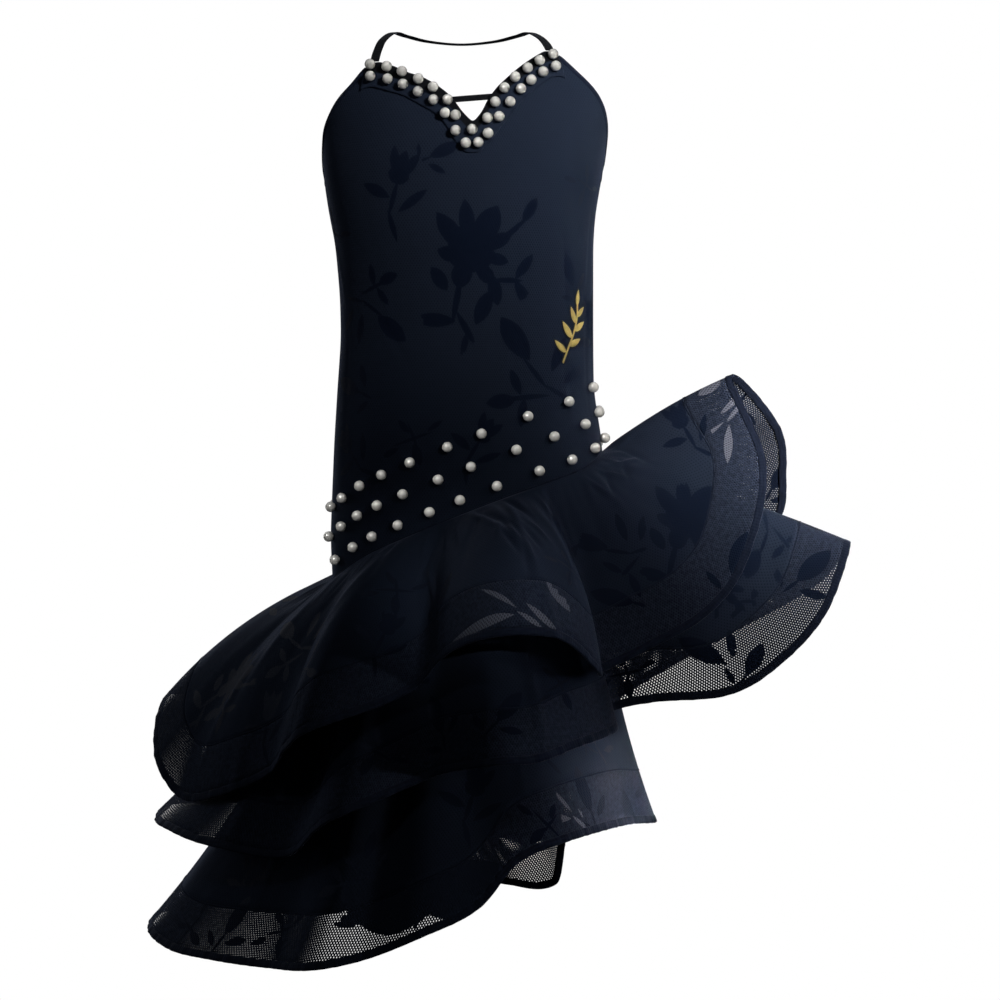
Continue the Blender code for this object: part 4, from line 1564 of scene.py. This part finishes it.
@dataclass(frozen=True)
class Thread:
    """Close satin stitch in a bright thread."""

    name: str
    colour: Colour
    metallic: float
    roughness: float
    pitch: float = 0.8
    shade: float = 0.45
    depth: float = 0.16

    def build(self) -> Finish:
        """Make the material: threads lie across the shape, at a slant by its own map.

        Returns:
            The material.
        """
        tree = NodeTree(self.name)
        along, about = tree.parts(tree.uv("cloth"))
        threads = (along + about * 0.5).ripple(self.pitch)
        wear = tree.noise(tree.place(), 300.0)
        # Painted shade: the colour darkens in the grooves between the threads; the wear noise adds
        # random tone.
        share = (threads * 0.55 + wear * 0.6).ramp(0.15, 0.95)
        return tree.dress(
            Base_Color=tree.shade(share, self.colour, self.shade),
            Metallic=self.metallic, Roughness=wear.about(self.roughness, 0.2),
            Normal=tree.bump(threads, self.depth),
        )


def scattered(placed: tuple[Motif, ...], seed: int, rows: int) -> tuple[Motif, ...]:
    """Add sprigs to a tier where none is listed.

    They stand in offset rows, each moved and turned by seeded random numbers.

    Args:
        placed: the sprigs listed one by one.
        seed: the seed of the random numbers.
        rows: the number of rows.

    Returns:
        The placed sprigs and the added ones.
    """
    chance = np.random.default_rng(seed)
    found = list(placed)
    order = (ROSE, SPRIG, BRANCH, TULIP, LEAF)
    taken = np.array([(motif.azimuth, motif.down) for motif in placed], dtype=float)
    for row, (down, step) in enumerate(SPRIG_ROWS[:rows]):
        count = int(TURN / step)
        for k in range(count):
            shift = 0.5 * (row % 2) + chance.uniform(-SPRIG_SHIFT, SPRIG_SHIFT)
            azimuth = (k + shift) * TURN / count - TURN / 2
            motif = Motif(
                azimuth, down + chance.uniform(-SPRIG_DROP, SPRIG_DROP),
                chance.uniform(-SPRIG_TURN, SPRIG_TURN), chance.uniform(*SPRIG_SIZES),
                order[(k * 2 + row + seed) % len(order)],
            )
            beside = np.abs(turn_from(taken[:, 0], azimuth)) * SPRIG_DEGREE
            if np.hypot(beside, taken[:, 1] - motif.down).min() > SPRIG_SPACING:
                found.append(motif)
    return tuple(found)


TIER_MOTIFS = {
    "upper": scattered(UPPER_MOTIFS, 3, 3), "middle": scattered(MIDDLE_MOTIFS, 5, 4),
    "lower": scattered(LOWER_MOTIFS, 8, 5),
}


def put(
    name: str, shape: Shape, material: Finish, nodes: Sequence[str] = ()
) -> bpy.types.Object:
    """Put a shape into the scene as a piece that rides on the dress.

    Args:
        name: the piece's name.
        shape: its shape (mm).
        material: its finish.
        nodes: the frame's nodes that it stands for.

    Returns:
        The piece.
    """
    mesh = bpy.data.meshes.new(name)
    mesh.from_pydata((shape.points * MM).tolist(), [], shape.faces)
    for map_name, values in shape.maps.items():
        layer = mesh.uv_layers.new(name=map_name)
        layer.uv.foreach_set("vector", np.ascontiguousarray(values, dtype=np.float32).ravel())
    mesh.materials.append(material)
    mesh.shade_smooth()
    piece = bpy.data.objects.new(name, mesh)
    bpy.context.scene.collection.objects.link(piece)
    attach(piece, BODY_NAME)
    if nodes:
        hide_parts(*nodes)
    LOG.info("%s: %d triangles", name, sum(len(face) - 2 for face in shape.faces))
    return piece


def grid_area(points: Array) -> float:
    """Return the area of a grid of points, by the two triangles of each of its cells.

    Args:
        points: the points (mm), rows by columns.

    Returns:
        The area (m2).
    """
    down, beside = np.diff(points, axis=0), np.diff(points, axis=1)
    halves = np.cross(down[:, :-1], beside[:-1]), np.cross(down[:, 1:], beside[1:])
    return float(sum(np.linalg.norm(half, axis=-1).sum() for half in halves)) / 2 * MM * MM


def smooth_path(rows: Sequence[Any], count: int) -> Array:
    """Resample an open path along a cubic, whose slopes are the mean of the steps beside a point.

    Args:
        rows: the path's points.
        count: the number of points wanted.

    Returns:
        The resampled points.
    """
    knots = np.array(rows, dtype=float)
    slopes = np.gradient(knots, axis=0)
    at = np.linspace(0.0, len(knots) - 1.0, count)
    index = np.minimum(at.astype(int), len(knots) - 2)
    t = (at - index)[:, None]
    return hermite(t, knots[index], knots[index + 1], slopes[index], slopes[index + 1])


def edge_tape(
    surface: Surface, azimuths: Array, downs: Array, section: Array, closed: bool,
    out: float | Array = 0.0,
) -> Shape:
    """Carry a section along a line on a surface, its x direction across the line in the cloth.

    Args:
        surface: the surface.
        azimuths: of the line's points (degrees).
        downs: their distances down (mm).
        section: the section's points (mm).
        closed: whether the line runs all round.
        out: how far it lies out from the surface (mm).

    Returns:
        The tape.
    """
    path = surface.points(azimuths, downs, out)
    normals = surface.normals(azimuths, downs)
    if closed:
        forward = np.roll(path, -1, axis=0) - np.roll(path, 1, axis=0)
    else:
        forward = np.gradient(path, axis=0)
    return tape(path, unit(np.cross(normals, forward)), normals, section, closed)


@dataclass
class Bodice:
    """The halter bodice: two panels, the neck band, the pearls, the bar, the strap and the edges.

    Lengths are in mm and azimuths in degrees; a grid is its rows and columns, and a half is a
    section's half-width and half-height.
    """

    figure: Figure
    cloth: Finish
    trim: Finish
    satin: Finish
    strip: Finish
    pearl: Finish
    wall: float = 1.0
    side: float = 90.0
    side_gap: float = 0.1
    front_grid: tuple[int, int] = (150, 150)
    back_grid: tuple[int, int] = (128, 132)
    girth_down: float = 150.0
    corner: float = 55.5
    band_wall: float = 1.2
    band_gap: float = 0.55
    band_grid: tuple[int, int] = (14, 168)
    bar_levels: Pair = (-75.5, -71.5)
    bar_ends: Pair = (-11.0, 21.0)
    bar_half: Pair = (3.0, 0.7)
    bar_back: float = 2.9
    bar_columns: int = 40
    strap_width: float = 8.5
    strap_wall: float = 1.4
    strap_ease: float = 1.02
    strap_columns: int = 160
    pearl_radius: float = 5.0
    pearl_sink: float = 1.0
    edge_half: Pair = (2.3, 1.15)
    edge_drop: float = 1.7
    edge_columns: int = 320
    hip_cord_half: Pair = (0.9, 0.7)
    hip_cord_drop: float = 0.2
    hip_cord_sink: float = 0.1
    side_cord_half: Pair = (0.7, 0.6)
    side_cord_sink: float = 0.3
    hip_cord_columns: int = 360
    side_cord_columns: int = 110

    def panel(
        self, name: str, rows: Sequence[EdgeRow], start: float, grid: tuple[int, int],
        motifs: Sequence[Motif],
    ) -> None:
        """Args:
            name: the name of the node that it stands for.
            rows: its top edge.
            start: the azimuth of its first side.
            grid: its rows and columns.
            motifs: the sprigs that lie on it.
        """
        end = start + TURN / 2
        azimuths = np.linspace(start + self.side_gap, end - self.side_gap, grid[1])
        downs = -between(edge_level(rows, azimuths), hip_seam(azimuths), grid[0])
        shape = cloth_wall(self.figure, azimuths, downs, self.wall, False, motifs)
        piece = put(f"{name}_cloth", shape, self.cloth, [name])
        area = grid_area(self.figure.points(azimuths, downs))
        line = self.figure.bare(azimuths, np.full(azimuths.shape, self.girth_down))
        height = float(downs.max() - downs.min())

    def neck_band(self) -> None:
        """Make the band that lies on the front along the neckline."""
        azimuths = np.linspace(-self.corner, self.corner, self.band_grid[1])
        top, low = edge_level(FRONT_TOP, azimuths), edge_level(BAND_LOWER_EDGE, azimuths)
        downs = -between(top, low, self.band_grid[0])
        out = self.band_gap + self.band_wall
        shape = cloth_wall(self.figure, azimuths, downs, self.band_wall, False, (), out, True)
        piece = put("neckline_band", shape, self.trim, ["neck_band"])
        points = self.figure.points(azimuths, downs, out)
        depth = float(np.linalg.norm(points[-1] - points[0], axis=1).max())

    def pearls(self, name: str, azimuths: Array, levels: Array, lift: float, node: str) -> None:
        """Make a group of sewn-on pearls.

        Args:
            name: the piece's name.
            azimuths: one a pearl.
            levels: one a pearl.
            lift: how far out from the figure they are sewn on.
            node: the node that they belong to.
        """
        stand = lift + self.pearl_radius - self.pearl_sink
        centres = self.figure.points(azimuths, -levels, stand)
        shape = beads(centres, self.figure.normals(azimuths, -levels), self.pearl_radius)
        put(name, shape, self.pearl, [node])

    def bar(self) -> None:
        """Make the bar across the notch, behind the front's edges."""
        azimuths = np.linspace(*self.bar_ends, self.bar_columns)
        downs = -np.linspace(*self.bar_levels, self.bar_columns)
        section = round_section(*self.bar_half, 12)
        shape = edge_tape(self.figure, azimuths, downs, section, False, -self.bar_back)
        put("notch_bar", shape, self.strip, ["neck_bar"])

    def strap(self) -> None:
        """Make the strap round the nape, its width level and across its path."""
        path = smooth_path(STRAP, self.strap_columns)
        forward = unit(np.gradient(path, axis=0))
        across = unit(np.cross(forward, (0.0, 0.0, 1.0)))
        section = round_section(self.strap_width / 2, self.strap_wall / 2, 16, 4.0)
        shape = tape(path, across, np.cross(across, forward), section, False)
        piece = put("nape_strap", shape, self.strip, ["halter_strap"])
        round_half = (self.strap_width + self.strap_wall) * MM * self.strap_ease

    def edges(self) -> None:
        """Make the narrow bound edge from one strap corner under the arms and across the back."""
        azimuths = np.linspace(self.corner, TURN - self.corner, self.edge_columns)
        turns = turn_from(azimuths, 0.0)
        levels = np.where(
            np.abs(turns) < self.side, edge_level(FRONT_TOP, turns), edge_level(BACK_TOP, azimuths)
        )
        section = round_section(*self.edge_half, 12)
        downs = self.edge_drop - levels
        shape = edge_tape(self.figure, azimuths, downs, section, False, -self.wall / 2)
        put("armhole_binding", shape, self.satin)

    def seams(self) -> None:
        """Make the hip seam and the side seams: fine cords that close the gaps between panels."""
        around = np.linspace(-TURN / 2, TURN / 2, self.hip_cord_columns + 1)[:-1]
        downs = self.hip_cord_drop - hip_seam(around)
        section = round_section(*self.hip_cord_half, 8)
        shapes = [edge_tape(self.figure, around, downs, section, True, -self.hip_cord_sink)]
        for side in (-self.side, self.side):
            at = np.full(self.side_cord_columns, side)
            ends = edge_level(FRONT_TOP, at[:1])[0], hip_seam(at[:1])[0]
            downs = -np.linspace(*ends, len(at))
            section = round_section(*self.side_cord_half, 8)
            out = -self.side_cord_sink
            shapes.append(edge_tape(self.figure, at, downs, section, False, out))
        put("bodice_seams", join_shapes(shapes), self.satin)

    def build(self) -> None:
        """Make every piece of the bodice."""
        self.panel("bodice_front", FRONT_TOP, -self.side, self.front_grid, FRONT_MOTIFS)
        self.panel("bodice_back", BACK_TOP, self.side, self.back_grid, BACK_MOTIFS)
        self.neck_band()
        self.pearls(
            "neckline_pearls", column(NECK_PEARLS, "azimuth"), column(NECK_PEARLS, "level"),
            self.band_gap + self.band_wall, "neck_band",
        )
        for side, rows in (("front", FRONT_HIP_PEARLS), ("back", BACK_HIP_PEARLS)):
            azimuths = np.concatenate(rows).astype(float)
            levels = hip_seam(azimuths) + np.repeat(HIP_PEARL_RISES, [len(row) for row in rows])
            self.pearls(f"hip_pearls_{side}", azimuths, levels, 0.0, f"bodice_{side}")
        self.bar()
        self.strap()
        self.edges()
        self.seams()


@dataclass
class HipSprig:
    """A small plain leaf sprig in gold thread on a dark backing, at the right hip.

    Its lengths are in mm, and its stem and leaves are drawn flat, to the right and up from its
    middle.  The belly's two powers shift a leaf's widest place and fill its outline.
    """

    figure: Figure
    thread: Finish
    backing: Finish
    azimuth: float = 63.0
    down: float = 288.0
    tilt: float = -12.0
    reach: float = 60.0
    stem: Sequence[Pair] = (
        (-7, -31), (-3, -16), (1.5, 0), (2.5, 15), (0, 27),
    )
    leaves: Sequence[Blade] = table(
        Blade,
        (-5, -20, 158, 15, 5.6), (-2.5, -13, 28, 16, 6), (0, -5, 146, 17, 6.4),
        (1.5, 2.5, 36, 16, 6), (2.2, 9.5, 132, 15, 5.6), (2, 16, 48, 13, 5), (0, 26, 98, 13, 5),
    )
    stem_half: float = 0.95
    stem_points: int = 48
    leaf_points: int = 28
    leaf_tip: float = 0.12
    leaf_bend: float = 0.14
    leaf_belly: Pair = (0.82, 0.8)
    thin: float = 0.12

    def on_cloth(self, flat: Array, out: float) -> tuple[Array, Array]:
        """Lay flat places on the figure.

        A step to the right is measured along the figure's girth at the middle's level.

        Args:
            flat: the places.
            out: distance out from the cloth (mm).

        Returns:
            The points and the normals there.
        """
        turn = np.radians(self.tilt)
        right = flat[:, 0] * np.cos(turn) - flat[:, 1] * np.sin(turn)
        up = flat[:, 0] * np.sin(turn) + flat[:, 1] * np.cos(turn)
        angles = np.linspace(self.azimuth - self.reach, self.azimuth + self.reach, 241)
        line = self.figure.bare(angles, np.full(angles.shape, self.down))
        girth = running_length(step_lengths(line))
        middle = np.interp(self.azimuth, angles, girth)
        azimuths = np.interp(middle + right, girth, angles)
        downs = self.down - up
        return self.figure.points(azimuths, downs, out), self.figure.normals(azimuths, downs)

    def stroke(self, flat: Array, widths: Array, height: float, out: float) -> Shape:
        """Make a padded stroke along a flat path: a section scaled to the width at each point.

        Args:
            flat: the path's places.
            widths: the half-width at each.
            height: the half-height at the widest.
            out: distance out from the cloth.

        Returns:
            The stroke.
        """
        path, normals = self.on_cloth(flat, out)
        across = unit(np.cross(normals, np.gradient(path, axis=0)))
        heights = height * np.clip(widths / widths.max(), self.thin, 1.0)
        section = round_section(1.0, 1.0, 12, 2.0)
        return tape(path, across, normals, section, False, np.stack((widths, heights), axis=-1))

    def strokes(self, grow: float, height: float, out: float) -> Shape:
        """Make the stem and the leaves, each leaf bent a little towards the tip of the sprig.

        Args:
            grow: how much wider and longer each stroke is made on every side.
            height: the half-height of a stroke at its widest.
            out: distance out from the cloth.

        Returns:
            The strokes as one shape.
        """
        widths = np.full(self.stem_points, self.stem_half + grow)
        shapes = [self.stroke(smooth_path(self.stem, self.stem_points), widths, height, out)]
        for leaf in self.leaves:
            t = np.linspace(-grow / leaf.length, 1.0 + grow / leaf.length, self.leaf_points)
            turn = np.radians(leaf.turn)
            line = np.stack((np.cos(turn), np.sin(turn))) * leaf.length
            bend = np.stack((0.0 * t, self.leaf_bend * leaf.length * t * t), axis=-1)
            flat = np.array((leaf.x, leaf.y)) + t[:, None] * line + bend
            lean, fullness = self.leaf_belly
            belly = np.sin(np.pi * np.linspace(0.0, 1.0, self.leaf_points) ** lean) ** fullness
            widths = self.leaf_tip + (leaf.width / 2 + grow) * belly
            shapes.append(self.stroke(flat, widths, height, out))
        return join_shapes(shapes)

    def build(self) -> None:
        """Make the backing and the thread on it."""
        put("hip_sprig_backing", self.strokes(1.5, 0.40, 0.15), self.backing)
        put("hip_sprig_thread", self.strokes(0.0, 0.75, 0.55), self.thread)


class Band(NamedTuple):
    """A band that each tier has: its name, rows, wall (mm), finish and material slot."""

    name: str
    rows: int
    wall: float
    material: Finish
    slot: str


@dataclass
class Skirt:
    """The three tiers of flounces, each with its band of net and its bound edge.

    The bound edge waves a little: each of its ripples has a height (mm), a number of waves all
    round and a phase.
    """

    figure: Figure
    cloth: Finish
    net: Finish
    satin: Finish
    thread: Finish
    columns: int = 600
    cloth_rows: int = 46
    net_rows: int = 10
    cloth_wall: float = 1.0
    net_wall: float = 0.7
    cut_ease: float = 1.06
    tape_columns: int = 720
    probe_columns: int = 2880
    binding_half: Pair = (3.9, 1.25)
    binding_sink: float = 1.0
    seam_half: Pair = (0.9, 0.35)
    ripples: Sequence[Spot] = ((0.22, 97, 0.4), (0.16, 151, 2.0), (0.12, 233, 4.1))
    ripple_down: float = 0.6

    def tiers(self) -> list[Tier]:
        """List the three tiers, which share their folds near the seam so that they nest.

        Returns:
            The tiers, from the upper one down.
        """
        folds = TIER_FOLDS + seam_gathers()
        hems = {"upper": UPPER_HEM, "middle": MIDDLE_HEM, "lower": LOWER_HEM}
        return [
            Tier(name, hem, order, self.figure, folds)
            for order, (name, hem) in enumerate(hems.items())
        ]

    def spread(self, tier: Tier, count: int) -> Array:
        """Space azimuths all round, half by angle and half by length along the hem.

        Args:
            tier: the tier.
            count: the number of steps.

        Returns:
            The azimuths, the last of which is the first one again.
        """
        fine = np.linspace(-TURN / 2, TURN / 2, self.probe_columns + 1)
        steps = step_lengths(tier.bare(fine, tier.length(fine)))
        share = running_length(steps) / steps.sum()
        mixed = 0.5 * share + 0.5 * np.linspace(0.0, 1.0, len(fine))
        return np.interp(np.linspace(0.0, 1.0, count + 1), mixed, fine)

    def band(self, tier: Tier, band: Band, azimuths: Array, start: Array, end: Array) -> None:
        """Make one band of a tier, between two distances down, and log its size.

        Args:
            tier: the tier.
            band: which band.
            azimuths: one a column.
            start: the distance down of its upper edge at each.
            end: the distance down of its lower edge.
        """
        downs = between(start, end, band.rows)
        shape = cloth_wall(tier, azimuths, downs, band.wall, True, TIER_MOTIFS[tier.name])
        node = f"{band.name}_{tier.name}"
        piece = put(f"{node}_cloth", shape, band.material, [node])
        points = tier.points(azimuths, downs)
        inner, outer = (step_lengths(points[k]).sum() for k in (0, -1))
        area, length = grid_area(points), max(inner, outer)
        depth = float(np.max(end - start)) * self.cut_ease
        depth * MM
        min(area, length * depth * MM * MM)
        LOG.info("%s: edges %.0f and %.0f mm, depth %.0f mm, area %.3f m2",
                 node, inner, outer, depth, area)

    def trim(self, tier: Tier) -> None:
        """Make a tier's bound edge and the tape over the seam between cloth and net.

        Args:
            tier: the tier.
        """
        azimuths = self.spread(tier, self.tape_columns)[:-1]
        length = tier.length(azimuths)
        hem = tier.bare(azimuths, length)
        along = np.cumsum(np.linalg.norm(np.diff(hem, axis=0, prepend=hem[-1:]), axis=1))
        turns = 2 * np.pi * along / along[-1]
        ripple = sum(high * np.sin(waves * turns + phase) for high, waves, phase in self.ripples)
        downs = length - BINDING_WIDTH / 2 + self.ripple_down * ripple
        section = round_section(*self.binding_half, 14, 3.4)
        edge = edge_tape(tier, azimuths, downs, section, True, ripple - self.binding_sink)
        node = f"binding_{tier.name}"
        put(f"{node}_satin", edge, self.satin, [node])
        start = length - NET_WIDTH - BINDING_WIDTH
        seam = edge_tape(tier, azimuths, start, round_section(*self.seam_half, 8), True)
        put(f"net_seam_{tier.name}", seam, self.thread)

    def build(self) -> None:
        """Make every piece of the three tiers."""
        cloth = Band("flounce", self.cloth_rows, self.cloth_wall, self.cloth, "burnout_cloth")
        net = Band("net", self.net_rows, self.net_wall, self.net, "horsehair_net")
        for tier in self.tiers():
            azimuths = self.spread(tier, self.columns)
            length = tier.length(azimuths)
            net_start = length - NET_WIDTH - BINDING_WIDTH
            self.band(tier, cloth, azimuths, 0.0 * length, net_start - SEAM_GAP / 2)
            self.band(tier, net, azimuths, net_start, length - BINDING_WIDTH)
            self.trim(tier)


@dataclass
class Studio:
    """Plain pale floor, soft studio light and the camera (m).

    Fill is the surround's light on the dress, its colour and strength.  Rise is what gloss shows
    of the surround: two heights of the direction, and the strength at each of them.
    """

    distance: float = 2.6
    scale: float = 0.95
    sensor: float = 36.0
    middle: Pair = (0.03325, -0.444)
    floor_level: float = -1.30
    floor_radius: float = 1.9
    floor_hole: float = 0.02
    floor_rings: int = 12
    floor_sides: int = 96
    floor_tones: Pair = (0.90, 0.94)
    floor_glow: float = 0.42
    white: Sequence[float] = (1.0, 1.0, 1.0, 1.0)
    fill: tuple[Sequence[float], float] = ((0.70, 0.84, 1.0, 1.0), 0.008)
    rise: Sequence[float] = (-0.05, 0.70, 0.02, 0.40)

    def camera(self) -> None:
        """Make the camera, level with the middle of the dress."""
        data = bpy.data.cameras.new("camera")
        data.sensor_width = self.sensor
        data.lens = self.sensor * self.distance / self.scale
        camera = bpy.data.objects.new("camera", data)
        camera.location = (self.middle[0], -self.distance, self.middle[1])
        camera.rotation_euler = (np.pi / 2, 0.0, 0.0)
        bpy.context.scene.collection.objects.link(camera)
        bpy.context.scene.camera = camera

    def floor(self) -> None:
        """Make a round pale floor well below the hem: rings of points round its middle."""
        sides = self.floor_sides
        angle = np.linspace(0.0, 2 * np.pi, sides + 1)[:-1]
        radii = self.floor_radius * np.linspace(self.floor_hole, 1.0, self.floor_rings)[:, None]
        levels = self.floor_level + 0.0 * radii * angle
        points = np.stack((radii * np.cos(angle), radii * np.sin(angle), levels), axis=-1)
        quads, _, _ = grid_quads(self.floor_rings, sides, False, True)
        faces = quads.tolist() + [list(range(sides - 1, -1, -1))]
        mesh = bpy.data.meshes.new("floor")
        mesh.from_pydata(points.reshape(-1, 3).tolist(), [], [face[::-1] for face in faces])
        tree = NodeTree("pale_floor")
        speck = tree.noise(tree.place(), 40.0)
        tones = ((tone, tone, tone) for tone in self.floor_tones)
        mesh.materials.append(tree.dress(
            Base_Color=tree.mix(speck, *tones), Roughness=0.9,
            Emission_Color=self.white, Emission_Strength=self.floor_glow,
        ))
        floor = bpy.data.objects.new("floor", mesh)
        bpy.context.scene.collection.objects.link(floor)
        floor.visible_diffuse = floor.visible_glossy = False

    def light(self, lamp: Lamp) -> None:
        """Put a lamp into the scene.

        Args:
            lamp: the lamp.
        """
        data = bpy.data.lights.new(lamp.name, "AREA")
        data.size, data.energy, data.color = lamp.size, lamp.power, lamp.colour
        data.spread = float(np.radians(lamp.spread))
        light = bpy.data.objects.new(lamp.name, data)
        light.location = lamp.spot
        aim = Vector(lamp.aim) - Vector(lamp.spot)
        light.rotation_euler = aim.to_track_quat("-Z", "Y").to_euler()
        light.visible_glossy = lamp.gloss
        if lamp.lit:
            receivers = bpy.data.collections.new(f"{lamp.name}_receivers")
            for piece in bpy.context.scene.objects:
                if lamp.lit in piece.name:
                    receivers.objects.link(piece)
            light.light_linking.receiver_collection = receivers
        bpy.context.scene.collection.objects.link(light)

    def world(self) -> None:
        """Make a white surround that lights the dress faintly and shows softly in its gloss.

        What gloss shows brightens with the height of the direction, from under foot to overhead.
        """
        world = bpy.data.worlds.new("studio")
        world.use_nodes = True
        nodes, links = world.node_tree.nodes, world.node_tree.links
        seen = nodes["Background"]
        seen.inputs[0].default_value = self.white
        faint, glossy = nodes.new("ShaderNodeBackground"), nodes.new("ShaderNodeBackground")
        for socket, value in zip(faint.inputs, self.fill):
            socket.default_value = value
        direction, height = nodes.new("ShaderNodeTexCoord"), nodes.new("ShaderNodeSeparateXYZ")
        rise = nodes.new("ShaderNodeMapRange")
        for number, value in enumerate(self.rise, 1):
            rise.inputs[number].default_value = value
        links.new(direction.outputs["Generated"], height.inputs[0])
        links.new(height.outputs[2], rise.inputs[0])
        links.new(rise.outputs[0], glossy.inputs[1])
        path = nodes.new("ShaderNodeLightPath")
        below = faint
        for ray, above in (("Is Glossy Ray", glossy), ("Is Camera Ray", seen)):
            mixed = nodes.new("ShaderNodeMixShader")
            links.new(path.outputs[ray], mixed.inputs[0])
            links.new(below.outputs[0], mixed.inputs[1])
            links.new(above.outputs[0], mixed.inputs[2])
            below = mixed
        links.new(below.outputs[0], nodes["World Output"].inputs[0])
        bpy.context.scene.world = world

    def build(self) -> None:
        """Set up the studio."""
        bpy.context.scene.view_settings.view_transform = "Standard"
        self.camera()
        self.floor()
        self.world()
        for lamp in LAMPS:
            self.light(lamp)


def main() -> None:
    """Build the dressed dress and its studio, and report each piece."""
    logging.basicConfig(level=logging.INFO, format="%(name)s: %(message)s")
    figure = Figure()
    cloth = BurnoutCloth().build()
    net = HorsehairNet().build()
    satin = Satin("satin_binding").build()
    trim = NeckTrim().build()
    strip = Satin(
        "neck_strip", colour=(0.0070, 0.0078, 0.0096), roughness=0.62, sheen=0.03, gloss=0.03
    ).build()
    pearl = PearlGloss().build()
    gold = Thread("gold_thread", (1.0, 0.79, 0.27), 0.30, 0.34).build()
    sewn = Satin(
        "seam_thread", colour=(0.0120, 0.0172, 0.0315), roughness=0.7, sheen=0.04, gloss=0.02
    ).build()
    backing = Thread("felt_backing", (0.020, 0.021, 0.025), 0.0, 0.85, 1.6).build()
    Bodice(figure, cloth, trim, satin, strip, pearl).build()
    HipSprig(figure, gold, backing).build()
    Skirt(figure, cloth, net, satin, sewn).build()
    Studio().build()


if __name__ == "__main__":
    main()
